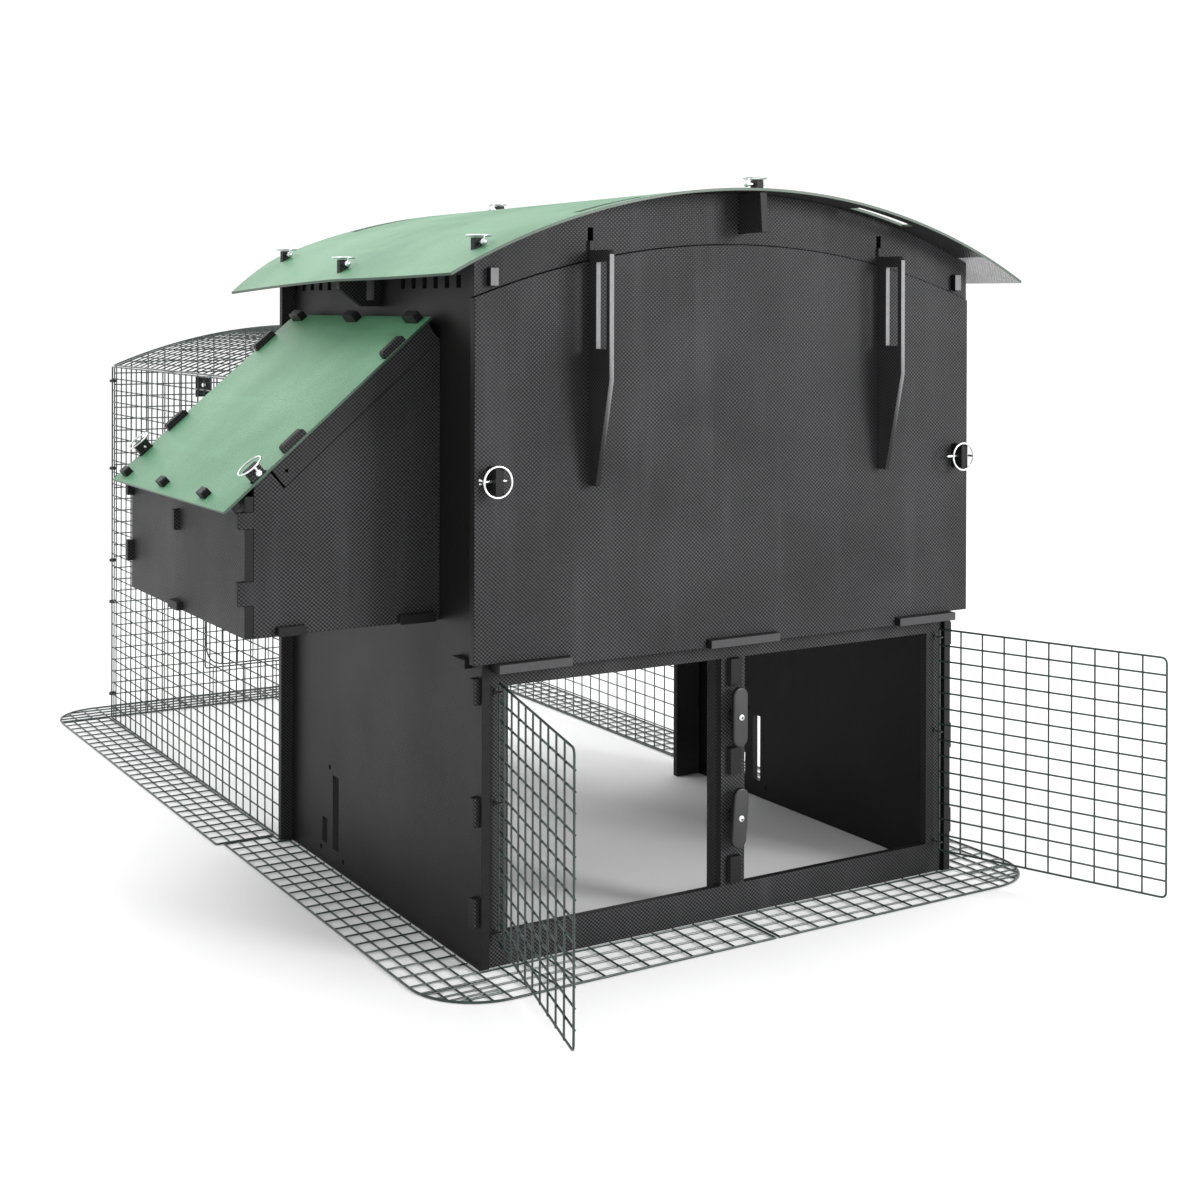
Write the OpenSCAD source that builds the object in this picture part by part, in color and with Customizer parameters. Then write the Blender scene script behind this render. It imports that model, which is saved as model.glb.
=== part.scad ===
// Raised chicken coop: a board house on a ground-level pen, a nest box on its left side,
// two wire doors in front, and a long wire run behind it with a wire skirt on the ground.
// +X is the coop's right seen from the front, +Y runs back along the run, +Z is up.
// The origin is on the ground under the middle of the front board.

/* [House] */
// Width over the side walls
house_w = 840; // [800:10:880]
// Depth of the side walls, front to back
house_d = 685; // [660:5:720]
// Thickness of the recycled boards
board_t = 12; // [10:0.5:13]
// Height of the underside of the house floor
floor_z = 404; // [398:1:412]
// Height of the side walls
wall_h = 972; // [966:1:973]

/* [Roof] */
// Radius of the roof's upper surface
roof_r = 1064; // [1040:1:1100]
// Height of the roof's crest
crest_z = 1067; // [1066:1:1072]
// Thickness of the roof sheet
roof_t = 4; // [3:0.5:5]
// Reach of the roof sheet from the middle to each eave
roof_reach = 504; // [490:1:520]
// Overhang of the roof in front of and behind the walls
roof_over = 70; // [66:1:74]

/* [Front panel] */
// Overhang of the panel past each side wall
panel_over = 20; // [16:1:24]
// Radius of the panel's arched top edge
panel_r = 1268; // [1240:1:1300]
// Height of the top of that arch
panel_top = 987; // [982:1:990]

/* [Doors] */
// Width of one mesh cell
cell_w = 36.5; // [36:0.25:37]
// Height of one mesh cell
cell_h = 25; // [24.5:0.25:25.25]
// Cells across a front door
door_cols = 10; // [9:1:10]
// Cells up a front door
door_rows = 14; // [13:1:14]
// Angle that the left door stands open
left_open = 104.5; // [90:0.5:120]
// Angle that the right door stands open
right_open = 110.5; // [90:0.5:120]

/* [Nest box] */
// Reach of the nest box out from the left wall
nest_reach = 287; // [270:1:300]
// Length of the nest box along the wall
nest_len = 509; // [490:1:520]
// Height of the nest box's underside
nest_z = 455; // [450:1:465]
// Slope of the nest lid below level
lid_slope = 40.5; // [39:0.25:42]
// Length of the lid down its slope
lid_len = 396; // [390:1:404]

/* [Run] */
// Length of the wire run
run_len = 1010; // [950:10:1050]
// Height of the run's side panels
run_wall_h = 765; // [755:1:775]
// Height of the run's arched roof at its middle
run_crest = 855; // [845:1:865]
// Width of the ground skirt
skirt_w = 100; // [90:5:110]
// Thickness of the wire
wire_d = 2.4; // [2:0.2:3]
// Thickness of the wire round each panel's edge
rim_d = 3; // [3:0.2:4]

/* [Hidden] */
$fn = 48;

fit = 0.3;                                  // play round a tenon in its slot
gap = 0.5;                                  // gap between parts that move apart
half_w = house_w / 2;
in_x = half_w - board_t;
wall_y = -13;                               // front edge of the side walls
back_y = wall_y + house_d;
board_y = -board_t / 2;                     // front face of the front board

open_x = 376;                               // outer edge of each door opening
post_w = 43;
sill_h = 46;
head_z = 380;

perch_t = 28;
perch_z = 520;
perch_end = in_x + 6;                       // the perches sit this far out, in blind sockets

rear_y = back_y + gap;
rear_half = half_w + panel_over;
jamb_x = 358;                               // half the width of the opening at the back
pop_w = 220;
pop_z = floor_z + board_t + 6;
pop_h = 300;

roof_cz = crest_z - roof_r;
under_r = roof_r - roof_t;
crest_pins = [wall_y - 48, back_y + 55];    // roof tenons of the ridge board
edge_pin_x = rear_half - 8;                 // roof tenons at the ends of the gable and rear wall
bracket_y = wall_y + 330;
bracket_pin_x = half_w + 60;
roof_tenon = 13;                            // how far the tenons stand above the roof
roof_pin = 6.5;                             // height of their linchpins above the roof
panel_t = 14;
panel_back = wall_y - 1;
panel_y = panel_back - panel_t;
panel_cz = panel_top - panel_r;
tab_drop = board_t + gap;                   // depth of the notches in the panel's lower edge
panel_tenon_z = [645, 681];
gable_tenon_z = [924, 948];
tenon_reach = 38;                           // how far the wall tenons stand out of the wall
panel_pin_y = wall_y - 27;

fin_x = 255;
fin_t = 8;                                  // thickness of the handle fins
fin_top = 974;
fin_low = 649;

door_w = door_cols * cell_w;
door_h = door_rows * cell_h;
door_z = 37;
door_y = board_y - 10;
hinge_x = 395;

nest_y = wall_y + 128;
nest_end = nest_y + nest_len;
nest_x = half_w + nest_reach;
nest_mid = nest_y + 271;                    // front face of the divider
lid_x = half_w + 16;
lid_top = 882;
lid_t = 4;
cheek_h = 30;
lid_pin_u = 329;
hook_len = 40;                              // length of the lid's hinge knuckles
batten_u = 372;                             // where the lid's batten starts, down its slope
lid_pin_n = 9;                              // height of the lid's linchpins above it

run_y = rear_y + board_t + 3;
run_end_y = run_y + run_len;
run_x = half_w + 14;
run_rise = run_crest - run_wall_h - 2;
run_r = (run_x * run_x + run_rise * run_rise) / (2 * run_rise);
end_door_w = 12 * cell_w;
end_door_h = 600;
end_door_z = 90;

run_roof_y = rear_y + board_t + 14;         // clear of the pop door and its rails

ramp_w = 210;
ramp_len = 660;
ramp_hinge = [rear_y + board_t + 17, floor_z - 6];
ramp_slope = asin((ramp_hinge[1] - 10) / ramp_len);

run_door_y = run_end_y + 6;
run_door_x = end_door_w / 2;

skirt_x = half_w + 8;
skirt_back_y = run_y + 14;
run_skirt_x = run_x + 6;

black = "#26262a";
green = "#2e8b57";
wire_green = "#1f4a3a";
steel = "#c8c8cc";

// Height of an arc of radius r about the roof's axis, x from the middle
function roof_z(x, r) = roof_cz + sqrt(r * r - x * x);
// Height of the panel's arched edge plus d
function arch_z(x, d = 0) = panel_cz + sqrt((panel_r + d) * (panel_r + d) - x * x);

// Plate whose outline (x, z) stands across the coop, from y to y + t
module plate_y(y, t) {
    translate([0, y + t, 0])
        rotate([90, 0, 0])
            linear_extrude(t)
                children();
}

// Plate whose outline (y, z) runs front to back, from x to x + t
module plate_x(x, t) {
    translate([x, 0, 0])
        rotate([90, 0, 90])
            linear_extrude(t)
                children();
}

// Box between two corners
module span(a, b) {
    translate(a)
        cube(b - a);
}

// Rectangle between two corners
module rect(a, b) {
    translate(a)
        square(b - a);
}

// Pill of length l and width w along x, centred
module pill(l, w) {
    square([l - w, w], center = true);
    for (s = [-1, 1])
        translate([s * (l - w) / 2, 0])
            circle(d = w);
}

// Rectangle with corners of radius r
module soft_rect(a, b, r) {
    rect(a + [r, 0], b - [r, 0]);
    rect(a + [0, r], b - [0, r]);
    for (x = [a[0] + r, b[0] - r], y = [a[1] + r, b[1] - r])
        translate([x, y])
            circle(r);
}

// Flat grid of cols by rows cells of size pitch, with wires of width w and an edge of width rim
module grid(cols, rows, pitch, w, rim) {
    difference() {
        rect([-rim / 2, -rim / 2], [cols * pitch[0] + rim / 2, rows * pitch[1] + rim / 2]);
        for (i = [0:cols - 1], j = [0:rows - 1])
            rect(
                [i * pitch[0] + (i == 0 ? rim : w) / 2, j * pitch[1] + (j == 0 ? rim : w) / 2],
                [(i + 1) * pitch[0] - (i == cols - 1 ? rim : w) / 2,
                 (j + 1) * pitch[1] - (j == rows - 1 ? rim : w) / 2]
            );
    }
}

// Linchpin along x through the origin: shaft, knob at -x, and a ring standing off along -y
module linchpin(len = 40, ring_r = 17, stand = 13) {
    color(steel) {
        rotate([0, 90, 0])
            cylinder(d = 5, h = len, center = true);
        translate([-len / 2 - 4, 0, 0])
            rotate([0, 90, 0])
                cylinder(d = 9, h = 5);
        translate([-len / 2 - 4 + 2.5, 0, 0])
            rotate([90, 0, 0])
                cylinder(d = 3, h = stand);
        translate([0, -stand, 0])
            rotate([90, 0, 0])
                rotate_extrude()
                    translate([ring_r + len / 2 - 17, 0])
                        circle(d = 3, $fn = 24);
    }
}

// Outline of a side wall in (y, z)
module wall_outline() {
    rect([wall_y, 0], [back_y, wall_h]);
    for (z = [panel_tenon_z, gable_tenon_z])
        rect([wall_y - (z == panel_tenon_z ? tenon_reach : 22), z[0]], [wall_y + 1, z[1]]);
    // tenons through the rear wall
    for (z = [120, 560, 860])
        rect([back_y - 1, z], [back_y + board_t + 9, z + 40]);
}

// Places of the perches, in front of and between the nest openings
function perch_y() = [wall_y + 98, nest_mid + board_t / 2 - perch_t / 2];

// Slots that the other boards' tenons pass through
module wall_slots() {
    for (z = [[58, 97], [193, 233], [358, 394]])
        rect([-board_t / 2 - fit, z[0] - fit], [board_t / 2 + fit, z[1] + fit]);
    for (y = [wall_y + 30, wall_y + 600])
        rect([y - fit, floor_z - fit], [y + 40 + fit, floor_z + board_t + fit]);
    rect([bracket_y - fit, 902], [bracket_y + board_t + fit, 926]);
    // two rows of vents under the eave
    for (y0 = [66, 488], i = [0:5])
        rect([wall_y + y0 + i * 36, 922], [wall_y + y0 + i * 36 + 14, 940]);
    // holes for a wheel kit low at the back
    rect([wall_y + 488, 30], [wall_y + 512, 148]);
    rect([wall_y + 534, 33], [wall_y + 554, 73]);
    for (p = [[524, 158], [560, 22], [470, 20]])
        translate([wall_y + p[0], p[1]])
            circle(d = 8);
}

module left_wall() {
    color(black)
        difference() {
            plate_x(-half_w, board_t)
                difference() {
                    wall_outline();
                    wall_slots();
                    rect([nest_y + 20, nest_z + 14], [nest_mid - 20, 800]);
                    rect([nest_mid + board_t + 20, nest_z + 14], [nest_end - 20, 800]);
                }
            pin_bore(-1);
            perch_sockets(-1);
        }
}

module right_wall() {
    color(black)
        difference() {
            plate_x(in_x, board_t)
                difference() {
                    wall_outline();
                    wall_slots();
                    rect([wall_y + 491, 300], [wall_y + 531, 360]);
                }
            pin_bore(1);
            perch_sockets(1);
        }
}

// Blind sockets for the perches in the inner face of a side wall
module perch_sockets(side) {
    for (y = perch_y())
        span([min(side * (in_x - 1), side * (perch_end + fit)), y - fit, perch_z - fit],
             [max(side * (in_x - 1), side * (perch_end + fit)), y + perch_t + fit, perch_z + perch_t + fit]);
}

// Bore for the linchpin in a side wall's tenon
module pin_bore(side) {
    translate([side * (half_w - board_t / 2), panel_pin_y, (panel_tenon_z[0] + panel_tenon_z[1]) / 2])
        rotate([0, 90, 0])
            cylinder(d = 6, h = board_t + 2, center = true);
}

module front_board() {
    color(black)
        plate_y(board_y, board_t)
            difference() {
                union() {
                    rect([-in_x + gap, 0], [in_x - gap, floor_z - fit]);
                    for (s = [-1, 1], z = [[58, 97], [193, 233], [358, 394]])
                        rect([min(s * (in_x - 1), s * (half_w + 9)), z[0]],
                             [max(s * (in_x - 1), s * (half_w + 9)), z[1]]);
                }
                for (s = [-1, 1])
                    translate([s * (open_x + post_w / 2) / 2, (sill_h + head_z) / 2])
                        square([open_x - post_w / 2, head_z - sill_h], center = true);
                for (z = post_tenons())
                    rect([-10 - fit, z - fit], [10 + fit, z + 39 + fit]);
            }
}

// Heights of the three tenons in the centre post
function post_tenons() = [50, 210, 341];

module post_beam() {
    color(black)
        difference() {
            union() {
                span([-post_w / 2, board_t / 2 + gap / 2, 0], [post_w / 2, 30, floor_z - fit]);
                for (z = post_tenons())
                    span([-10, board_y - 9, z], [10, board_t / 2 + 1, z + 39]);
            }
            span([-post_w / 2 + 12, 18, -1], [post_w / 2 - 12, 31, floor_z]);
        }
}

// Outline of a gable from height low up to the roof, with the tenons that hold the roof's corners
module gable_outline(low) {
    intersection() {
        rect([-rear_half, low], [rear_half, crest_z]);
        translate([0, roof_cz])
            circle(under_r - gap, $fn = 360);
    }
    for (s = [-1, 1])
        rect([s * edge_pin_x - 7, 950], [s * edge_pin_x + 7, roof_z(edge_pin_x, roof_r) + roof_tenon]);
}

// Bores for the linchpins in those tenons
module gable_bores(y) {
    for (s = [-1, 1])
        translate([s * edge_pin_x, y, roof_z(edge_pin_x, roof_r) + roof_pin])
            rotate([90, 0, 0])
                cylinder(d = 6, h = board_t + 2, center = true);
}

module rear_wall() {
    color(black)
        difference() {
            rear_board();
            gable_bores(rear_y + board_t / 2);
        }
}

module rear_board() {
    color(black)
        plate_y(rear_y, board_t)
            difference() {
                gable_outline(0);
                rect([-jamb_x, -1], [jamb_x, head_z]);
                rect([-pop_w / 2, pop_z], [pop_w / 2, pop_z + pop_h]);
                rect([-6 - fit, 1004 - fit], [6 + fit, crest_z]);
                for (s = [-1, 1], z = [120, 560, 860])
                    rect([s * (half_w - board_t / 2) - board_t / 2 - fit, z - fit],
                         [s * (half_w - board_t / 2) + board_t / 2 + fit, z + 40 + fit]);
                for (x = [-390, 350])
                    rect([x - fit, floor_z - fit], [x + 40 + fit, floor_z + board_t + fit]);
                for (s = [-1, 1], i = [0:4])
                    rect([s * 270 - 86 + i * 36, 905], [s * 270 - 72 + i * 36, 923]);
            }
}

// Floor of the house: rests on the front board and shows three bars under the front panel
module house_floor() {
    color(black)
        translate([0, 0, floor_z])
            linear_extrude(board_t) {
                rect([-in_x + gap, wall_y], [in_x - gap, back_y - gap]);
                for (x = [[-in_x + gap, -293], [-62, 62], [293, in_x - gap]])
                    rect([x[0], panel_y - 11], [x[1], wall_y + 1]);
                for (s = [-1, 1], y = [wall_y + 30, wall_y + 600])
                    rect([min(s * (in_x - 1), s * (half_w + 11)), y],
                         [max(s * (in_x - 1), s * (half_w + 11)), y + 40]);
                for (x = [-390, 350])
                    rect([x, back_y - 1], [x + 40, rear_y + board_t + 6]);
            }
}

module front_gable() {
    color(black)
        difference() {
            gable_board();
            gable_bores(wall_y - board_t / 2);
        }
}

module gable_board() {
    color(black)
        plate_y(wall_y - board_t, board_t)
            difference() {
                gable_outline(880);
                translate([0, panel_cz])
                    circle(panel_r + 1, $fn = 360);
                for (s = [-1, 1]) {
                    rect([s * (half_w - board_t / 2) - board_t / 2 - fit, gable_tenon_z[0] - fit],
                         [s * (half_w - board_t / 2) + board_t / 2 + fit, gable_tenon_z[1] + fit]);
                    rect([s * fin_x - (s < 0 ? fin_t + fit : fit), 960],
                         [s * fin_x + (s < 0 ? fit : fin_t + fit), 1006]);
                }
                rect([-6 - fit, 1004 - fit], [6 + fit, crest_z]);
            }
}

// Beam under the crest, standing out through the gable and the rear wall
module ridge_board() {
    top = crest_z - roof_t - 1;
    front = wall_y - roof_over + 1;
    rear = back_y + roof_over - 1;
    color(black)
        difference() {
            plate_x(-6, 12)
                union() {
                    polygon([[front, 1004], [rear, 1004], [rear - 5, top], [front + 5, top]]);
                    for (y = crest_pins)
                        rect([y - 8, top - 1], [y + 8, crest_z + roof_tenon]);
                }
            for (y = crest_pins)
                translate([0, y, crest_z + roof_pin])
                    rotate([0, 90, 0])
                        cylinder(d = 6, h = 14, center = true);
        }
}

// Square perch bar seated in both side walls
module perch(y) {
    color("#8a6a44")
        span([-perch_end, y, perch_z], [perch_end, y + perch_t, perch_z + perch_t]);
}

module perch_front() {
    perch(perch_y()[0]);
}

module perch_rear() {
    perch(perch_y()[1]);
}

// Bracket that carries the eave outside a side wall, with its tenon up through the roof
module eave_bracket(side) {
    x_tip = half_w + 68;
    color(black)
        difference() {
            plate_y(bracket_y, board_t)
                scale([side, 1])
                    difference() {
                        union() {
                            polygon([
                                [half_w + gap, 896], [half_w + 30, 896], [x_tip, 922],
                                [x_tip, roof_z(x_tip, under_r) - 1.5],
                                [half_w + gap, roof_z(half_w, under_r) - 4]
                            ]);
                            rect([in_x, 902 + fit], [half_w + 1, 926 - fit]);
                            rect([bracket_pin_x - 7, 936],
                                 [bracket_pin_x + 7, roof_z(bracket_pin_x, roof_r) + roof_tenon]);
                        }
                        rect([half_w + 12, 905], [half_w + 24, 938]);
                    }
            translate([side * bracket_pin_x, bracket_y + board_t / 2,
                       roof_z(bracket_pin_x, roof_r) + roof_pin])
                rotate([90, 0, 0])
                    cylinder(d = 6, h = board_t + 2, center = true);
        }
}

module eave_bracket_left() {
    eave_bracket(-1);
}

module eave_bracket_right() {
    eave_bracket(1);
}

module roof_sheet() {
    color(green)
        difference() {
            plate_y(wall_y - roof_over, house_d + 2 * roof_over)
                difference() {
                    translate([0, roof_cz])
                        circle(roof_r, $fn = 360);
                    translate([0, roof_cz])
                        circle(under_r, $fn = 360);
                    rect([-roof_r, roof_cz - roof_r], [roof_r, roof_z(roof_reach, roof_r) - 2]);
                    for (s = [-1, 1])
                        rect([s * roof_reach - (s < 0 ? 300 : 0), 0],
                             [s * roof_reach + (s < 0 ? 0 : 300), crest_z]);
                }
            for (s = [-1, 1]) {
                // hand slots at both ends
                for (y = [wall_y - 38, back_y + 38])
                    span([s * 244 - 53, y - 12, 900], [s * 244 + 53, y + 12, 1100]);
                for (y = [wall_y - board_t, rear_y])
                    roof_slot(s * edge_pin_x, 7, y, y + board_t);
                roof_slot(s * bracket_pin_x, 7, bracket_y, bracket_y + board_t);
            }
            for (y = crest_pins)
                roof_slot(0, 6, y - 8, y + 8);
        }
}

// Slot in the roof round a tenon at x, reach to each side, from y0 to y1
module roof_slot(x, reach, y0, y1) {
    span([x - reach - fit, y0 - fit, 900], [x + reach + fit, y1 + fit, 1100]);
}

// Linchpins that hold the roof sheet down, one through each tenon
module roof_linchpins() {
    for (y = crest_pins)
        translate([0, y, crest_z + roof_pin])
            upright_pin(0);
    for (s = [-1, 1]) {
        for (y = [wall_y - board_t / 2, rear_y + board_t / 2])
            translate([s * edge_pin_x, y, roof_z(edge_pin_x, roof_r) + roof_pin])
                upright_pin(90);
        translate([s * bracket_pin_x, bracket_y + board_t / 2, roof_z(bracket_pin_x, roof_r) + roof_pin])
            upright_pin(90);
    }
}

// Linchpin with its ring lying above it, turned about the upright tenon
module upright_pin(turn) {
    rotate([0, 0, turn])
        rotate([-90, 0, 0])
            linchpin(len = 36, ring_r = 16, stand = 9);
}

// Removable front of the house, hung on the side walls' tenons
module front_panel() {
    edge = half_w + panel_over;
    color(black)
        plate_y(panel_y, panel_t)
            difference() {
                intersection() {
                    rect([-edge, floor_z], [edge, crest_z]);
                    translate([0, panel_cz])
                        circle(panel_r, $fn = 360);
                }
                for (x = [[-edge - 1, -292], [-63, 63], [292, edge + 1]])
                    rect([x[0], floor_z - 1], [x[1], floor_z + tab_drop]);
                for (s = [-1, 1])
                    rect([s * (half_w - 6) - 6 - gap, panel_tenon_z[0] - gap],
                         [s * (half_w - 6) + 6 + gap, panel_tenon_z[1] + gap]);
            }
}

// Upright handle fin on the panel's face, with a finger window and a hook into the gable's slot
module handle(x) {
    y = panel_y;
    hook_z = arch_z(fin_x) + 1.5;
    color(black)
        plate_x(x, fin_t)
            difference() {
                polygon([
                    [y, fin_low], [y - 18, fin_low], [y - 20, fin_low + 4], [y - 54, fin_top - 178],
                    [y - 54, fin_top - 6], [y - 48, fin_top], [y - 2, fin_top], [y - 2, fin_top + 14],
                    [panel_back + 4, fin_top + 14], [panel_back + 4, hook_z], [y, hook_z]
                ]);
                rect([y - 46, fin_top - 136], [y - 19, fin_top - 16]);
            }
}

module panel_handle_left() {
    handle(-fin_x - fin_t);
}

module panel_handle_right() {
    handle(fin_x);
}

module panel_pin(side) {
    translate([side * (half_w - board_t / 2), panel_pin_y, (panel_tenon_z[0] + panel_tenon_z[1]) / 2])
        rotate([0, side > 0 ? 180 : 0, 0])
            linchpin(len = 46, ring_r = 18, stand = 15);
}

module panel_pin_left() {
    panel_pin(-1);
}

module panel_pin_right() {
    panel_pin(1);
}

module nest_floor() {
    color(black)
        translate([0, 0, nest_z])
            linear_extrude(board_t) {
                rect([-nest_x + board_t + gap, nest_y + board_t + gap],
                     [-half_w - gap, nest_end - board_t - gap]);
                for (x = [[-663, -623], [-485, -431]], y = [nest_y - 10, nest_end - board_t - gap - 1])
                    rect([x[0], y], [x[1], y + board_t + 11 + gap]);
                rect([-nest_x - 9, nest_mid - 14], [-nest_x + board_t + gap + 1, nest_mid + 26]);
            }
}

// Heights of the tenons that join the nest's sides to its outer wall
function side_tenons() = [[498, 530], [600, 622]];

module nest_outer_wall() {
    top = lid_under(nest_x) - 2;
    color(black)
        difference() {
            span([-nest_x, nest_y, nest_z], [-nest_x + board_t, nest_end, top]);
            for (y = [nest_y, nest_end - board_t], z = side_tenons())
                span([-nest_x - 1, y - fit, z[0] - fit],
                     [-nest_x + board_t + 1, y + board_t + fit, z[1] + fit]);
            span([-nest_x - 1, nest_mid - 14 - fit, nest_z - 1],
                 [-nest_x + board_t + 1, nest_mid + 26 + fit, nest_z + board_t + fit]);
            span([-nest_x - 1, nest_mid - fit, 570 - fit],
                 [-nest_x + board_t + 1, nest_mid + board_t + fit, 600 + fit]);
        }
}

// Height of the lid's underside at a distance x from the coop's middle
function lid_under(x) = lid_top - lid_t / cos(lid_slope) - (x - lid_x) * tan(lid_slope);

// Height of the cheeks' underside there
function cheek_under(x) = lid_under(x) - cheek_h / cos(lid_slope) - 0.8;

// Frame that lies on the lid: x runs up the slope to the hinge edge, z stands off the lid
module on_lid() {
    translate([-lid_x, 0, lid_top])
        rotate([0, -lid_slope, 0])
            children();
}

// Point (x, z) at a distance u down the lid's slope and n off its upper face
function lid_pt(u, n) = [
    -lid_x - u * cos(lid_slope) - n * sin(lid_slope),
    lid_top - u * sin(lid_slope) + n * cos(lid_slope)
];

// Side of the nest box; its tenon holds the lid's linchpin
module nest_side(y) {
    outer = -nest_x + board_t + gap;
    inner = -half_w - gap;
    step_u = 314;                           // the cheek ends above this step
    color(black)
        difference() {
            plate_y(y, board_t)
                difference() {
                    union() {
                        polygon([
                            [outer, nest_z], [inner, nest_z], [inner, cheek_under(-inner)],
                            lid_pt(step_u, -lid_t - cheek_h - 0.6), lid_pt(step_u, -lid_t - 1),
                            [outer, lid_under(-outer) - 1.3]
                        ]);
                        polygon([
                            lid_pt(lid_pin_u - 11, -24), lid_pt(lid_pin_u - 11, 18),
                            lid_pt(lid_pin_u + 11, 18), lid_pt(lid_pin_u + 11, -24)
                        ]);
                        for (z = side_tenons())
                            rect([-nest_x - 10, z[0]], [outer + 1, z[1]]);
                    }
                    for (x = [[-663, -623], [-485, -431]])
                        rect([x[0] - fit, nest_z - 1], [x[1] + fit, nest_z + board_t + fit]);
                }
            on_lid()
                translate([-lid_pin_u, y + board_t / 2, lid_pin_n])
                    rotate([90, 0, 0])
                        cylinder(d = 6, h = board_t + 2, center = true);
        }
}

module nest_side_front() {
    nest_side(nest_y);
}

module nest_side_rear() {
    nest_side(nest_end - board_t);
}

module nest_divider() {
    low = nest_z + board_t + gap;
    inner = -half_w - gap;
    outer = -nest_x + board_t + gap;
    color(black)
        plate_y(nest_mid, board_t)
            union() {
                polygon([
                    [outer, low], [inner, low], [inner, 760],
                    [inner - 60, 760], [outer, lid_under(nest_x - board_t) - 14]
                ]);
                rect([-nest_x - 9, 570], [outer + 1, 600]);
            }
}

// Sloping lid with the slots for its locking tenons and the tabs of its cheeks
module nest_lid() {
    color(green)
        on_lid()
            difference() {
                span([-lid_len, nest_y - 2, -lid_t], [0, nest_end + 2, 0]);
                for (y = hook_places())
                    span([-15 - fit, y - fit, -lid_t - 1], [-3 + fit, y + hook_len + fit, 1]);
                for (y = batten_tabs())
                    span([-batten_u - board_t - fit, y - fit, -lid_t - 1], [-batten_u + fit, y + 24 + fit, 1]);
                for (y = [nest_y, nest_end - board_t])
                    span([-lid_pin_u - 13, y - gap, -lid_t - 1], [-lid_pin_u + 13, y + board_t + gap, 1]);
                for (y = [nest_y, nest_end - board_t], u = cheek_tabs())
                    span([-u - 20 - fit, y - fit, -lid_t - 1], [-u + 20 + fit, y + board_t + fit, 1]);
            }
}

// Places along the lid of the three knuckles at its hinge edge
function hook_places() = [nest_y + 18, nest_y + 232, nest_y + nest_len - 58];

// Places along the lid of the three tabs of its batten
function batten_tabs() = [nest_y + 98, nest_y + 280, nest_y + 462];

// Knuckles that stand up through the lid at its hinge edge
module lid_hooks() {
    color(black)
        on_lid()
            for (y = hook_places())
                translate([-3, y, 0])
                    rotate([90, 0, -90])
                        linear_extrude(12)
                            soft_rect([-hook_len, -lid_t - 5], [0, 13], 5);
}

// Batten under the lid's lower edge, tabbed up through it
module lid_batten() {
    color(black)
        on_lid()
            translate([-batten_u, 0, 0])
                rotate([90, 0, -90])
                    linear_extrude(board_t) {
                        rect([-nest_end + 6, -lid_t - 10], [-nest_y - 6, -lid_t - 0.2]);
                        for (y = batten_tabs())
                            soft_rect([-y - 24, -lid_t - 6], [-y, 10], 3);
                    }
}

// Distances down the slope of the tabs on each cheek
function cheek_tabs() = [70, 262];

// Edge board under one side of the lid, tabbed up through it
module lid_cheek(y) {
    color(black)
        on_lid()
            union() {
                plate_y(y, board_t)
                    difference() {
                        rect([-311, -lid_t - cheek_h], [-10, -lid_t - 0.2]);
                        translate([-296, -lid_t - cheek_h / 2])
                            circle(d = 5);
                    }
                for (u = cheek_tabs())
                    plate_y(y, board_t)
                        translate([-u, -2])
                            soft_rect([-20, -lid_t], [20, 12], 5);
            }
}

module lid_cheek_front() {
    lid_cheek(nest_y);
}

module lid_cheek_rear() {
    lid_cheek(nest_end - board_t);
}

// Linchpin across a nest-side tenon, above the lid
module nest_pin(y, out) {
    on_lid()
        translate([-lid_pin_u, y, lid_pin_n])
            rotate([0, 0, 90 * out])
                rotate([-90, 0, 0])
                    linchpin(len = 36, ring_r = 16, stand = 11);
}

module nest_pin_front() {
    nest_pin(nest_y + board_t / 2, 1);
}

module nest_pin_rear() {
    nest_pin(nest_end - board_t / 2, -1);
}

// Wire door in its closed place, hinge wire on the z axis and cells along +x
module mesh_door() {
    color(wire_green)
        union() {
            translate([0, -wire_d / 2, 0])
                rotate([90, 0, 0])
                    translate([0, 0, -wire_d])
                        linear_extrude(wire_d)
                            difference() {
                                grid(door_cols, door_rows, [cell_w, cell_h], wire_d, rim_d);
                                rect([-rim_d, -rim_d], [0, door_h + rim_d]);
                            }
            translate([0, 0, -rim_d / 2])
                cylinder(d = rim_d, h = door_h + rim_d);
        }
}

module left_door() {
    translate([-hinge_x, door_y, door_z])
        rotate([0, 0, -left_open])
            mesh_door();
}

module right_door() {
    translate([hinge_x, door_y, door_z])
        rotate([0, 0, right_open])
            mirror([1, 0, 0])
                mesh_door();
}

// Screw eye in a jamb, closed round the door's hinge wire
module hinge_eye() {
    color(black) {
        rotate_extrude()
            translate([4.2, 0])
                circle(d = 2.6, $fn = 24);
        translate([0, 4.6, 0])
            rotate([-90, 0, 0])
                cylinder(d = 2.6, h = board_y - door_y - 4.6);
        translate([0, board_y - door_y - 2, 0])
            rotate([-90, 0, 0])
                cylinder(d = 8, h = 2);
    }
}

module door_eyes(x) {
    for (row = [0, 7, door_rows - 1])
        translate([x, door_y, door_z + (row + 0.5) * cell_h])
            hinge_eye();
}

module left_door_eyes() {
    door_eyes(-hinge_x);
}

module right_door_eyes() {
    door_eyes(hinge_x);
}

// Turn button on the centre post: a pill that swings across both doors' edges
module turn_button(z, lean) {
    color(black)
        difference() {
            union() {
                plate_y(door_y - 11, 8)
                    translate([0, z])
                        rotate(90 - lean)
                            pill(88, 26);
                translate([0, board_y - gap, z])
                    rotate([90, 0, 0])
                        cylinder(d = 18, h = board_y - gap - door_y + 4);
            }
            translate([0, 0, z])
                rotate([90, 0, 0])
                    cylinder(d = 5.4, h = 60);
        }
}

function button_z() = [148, 296];

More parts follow.
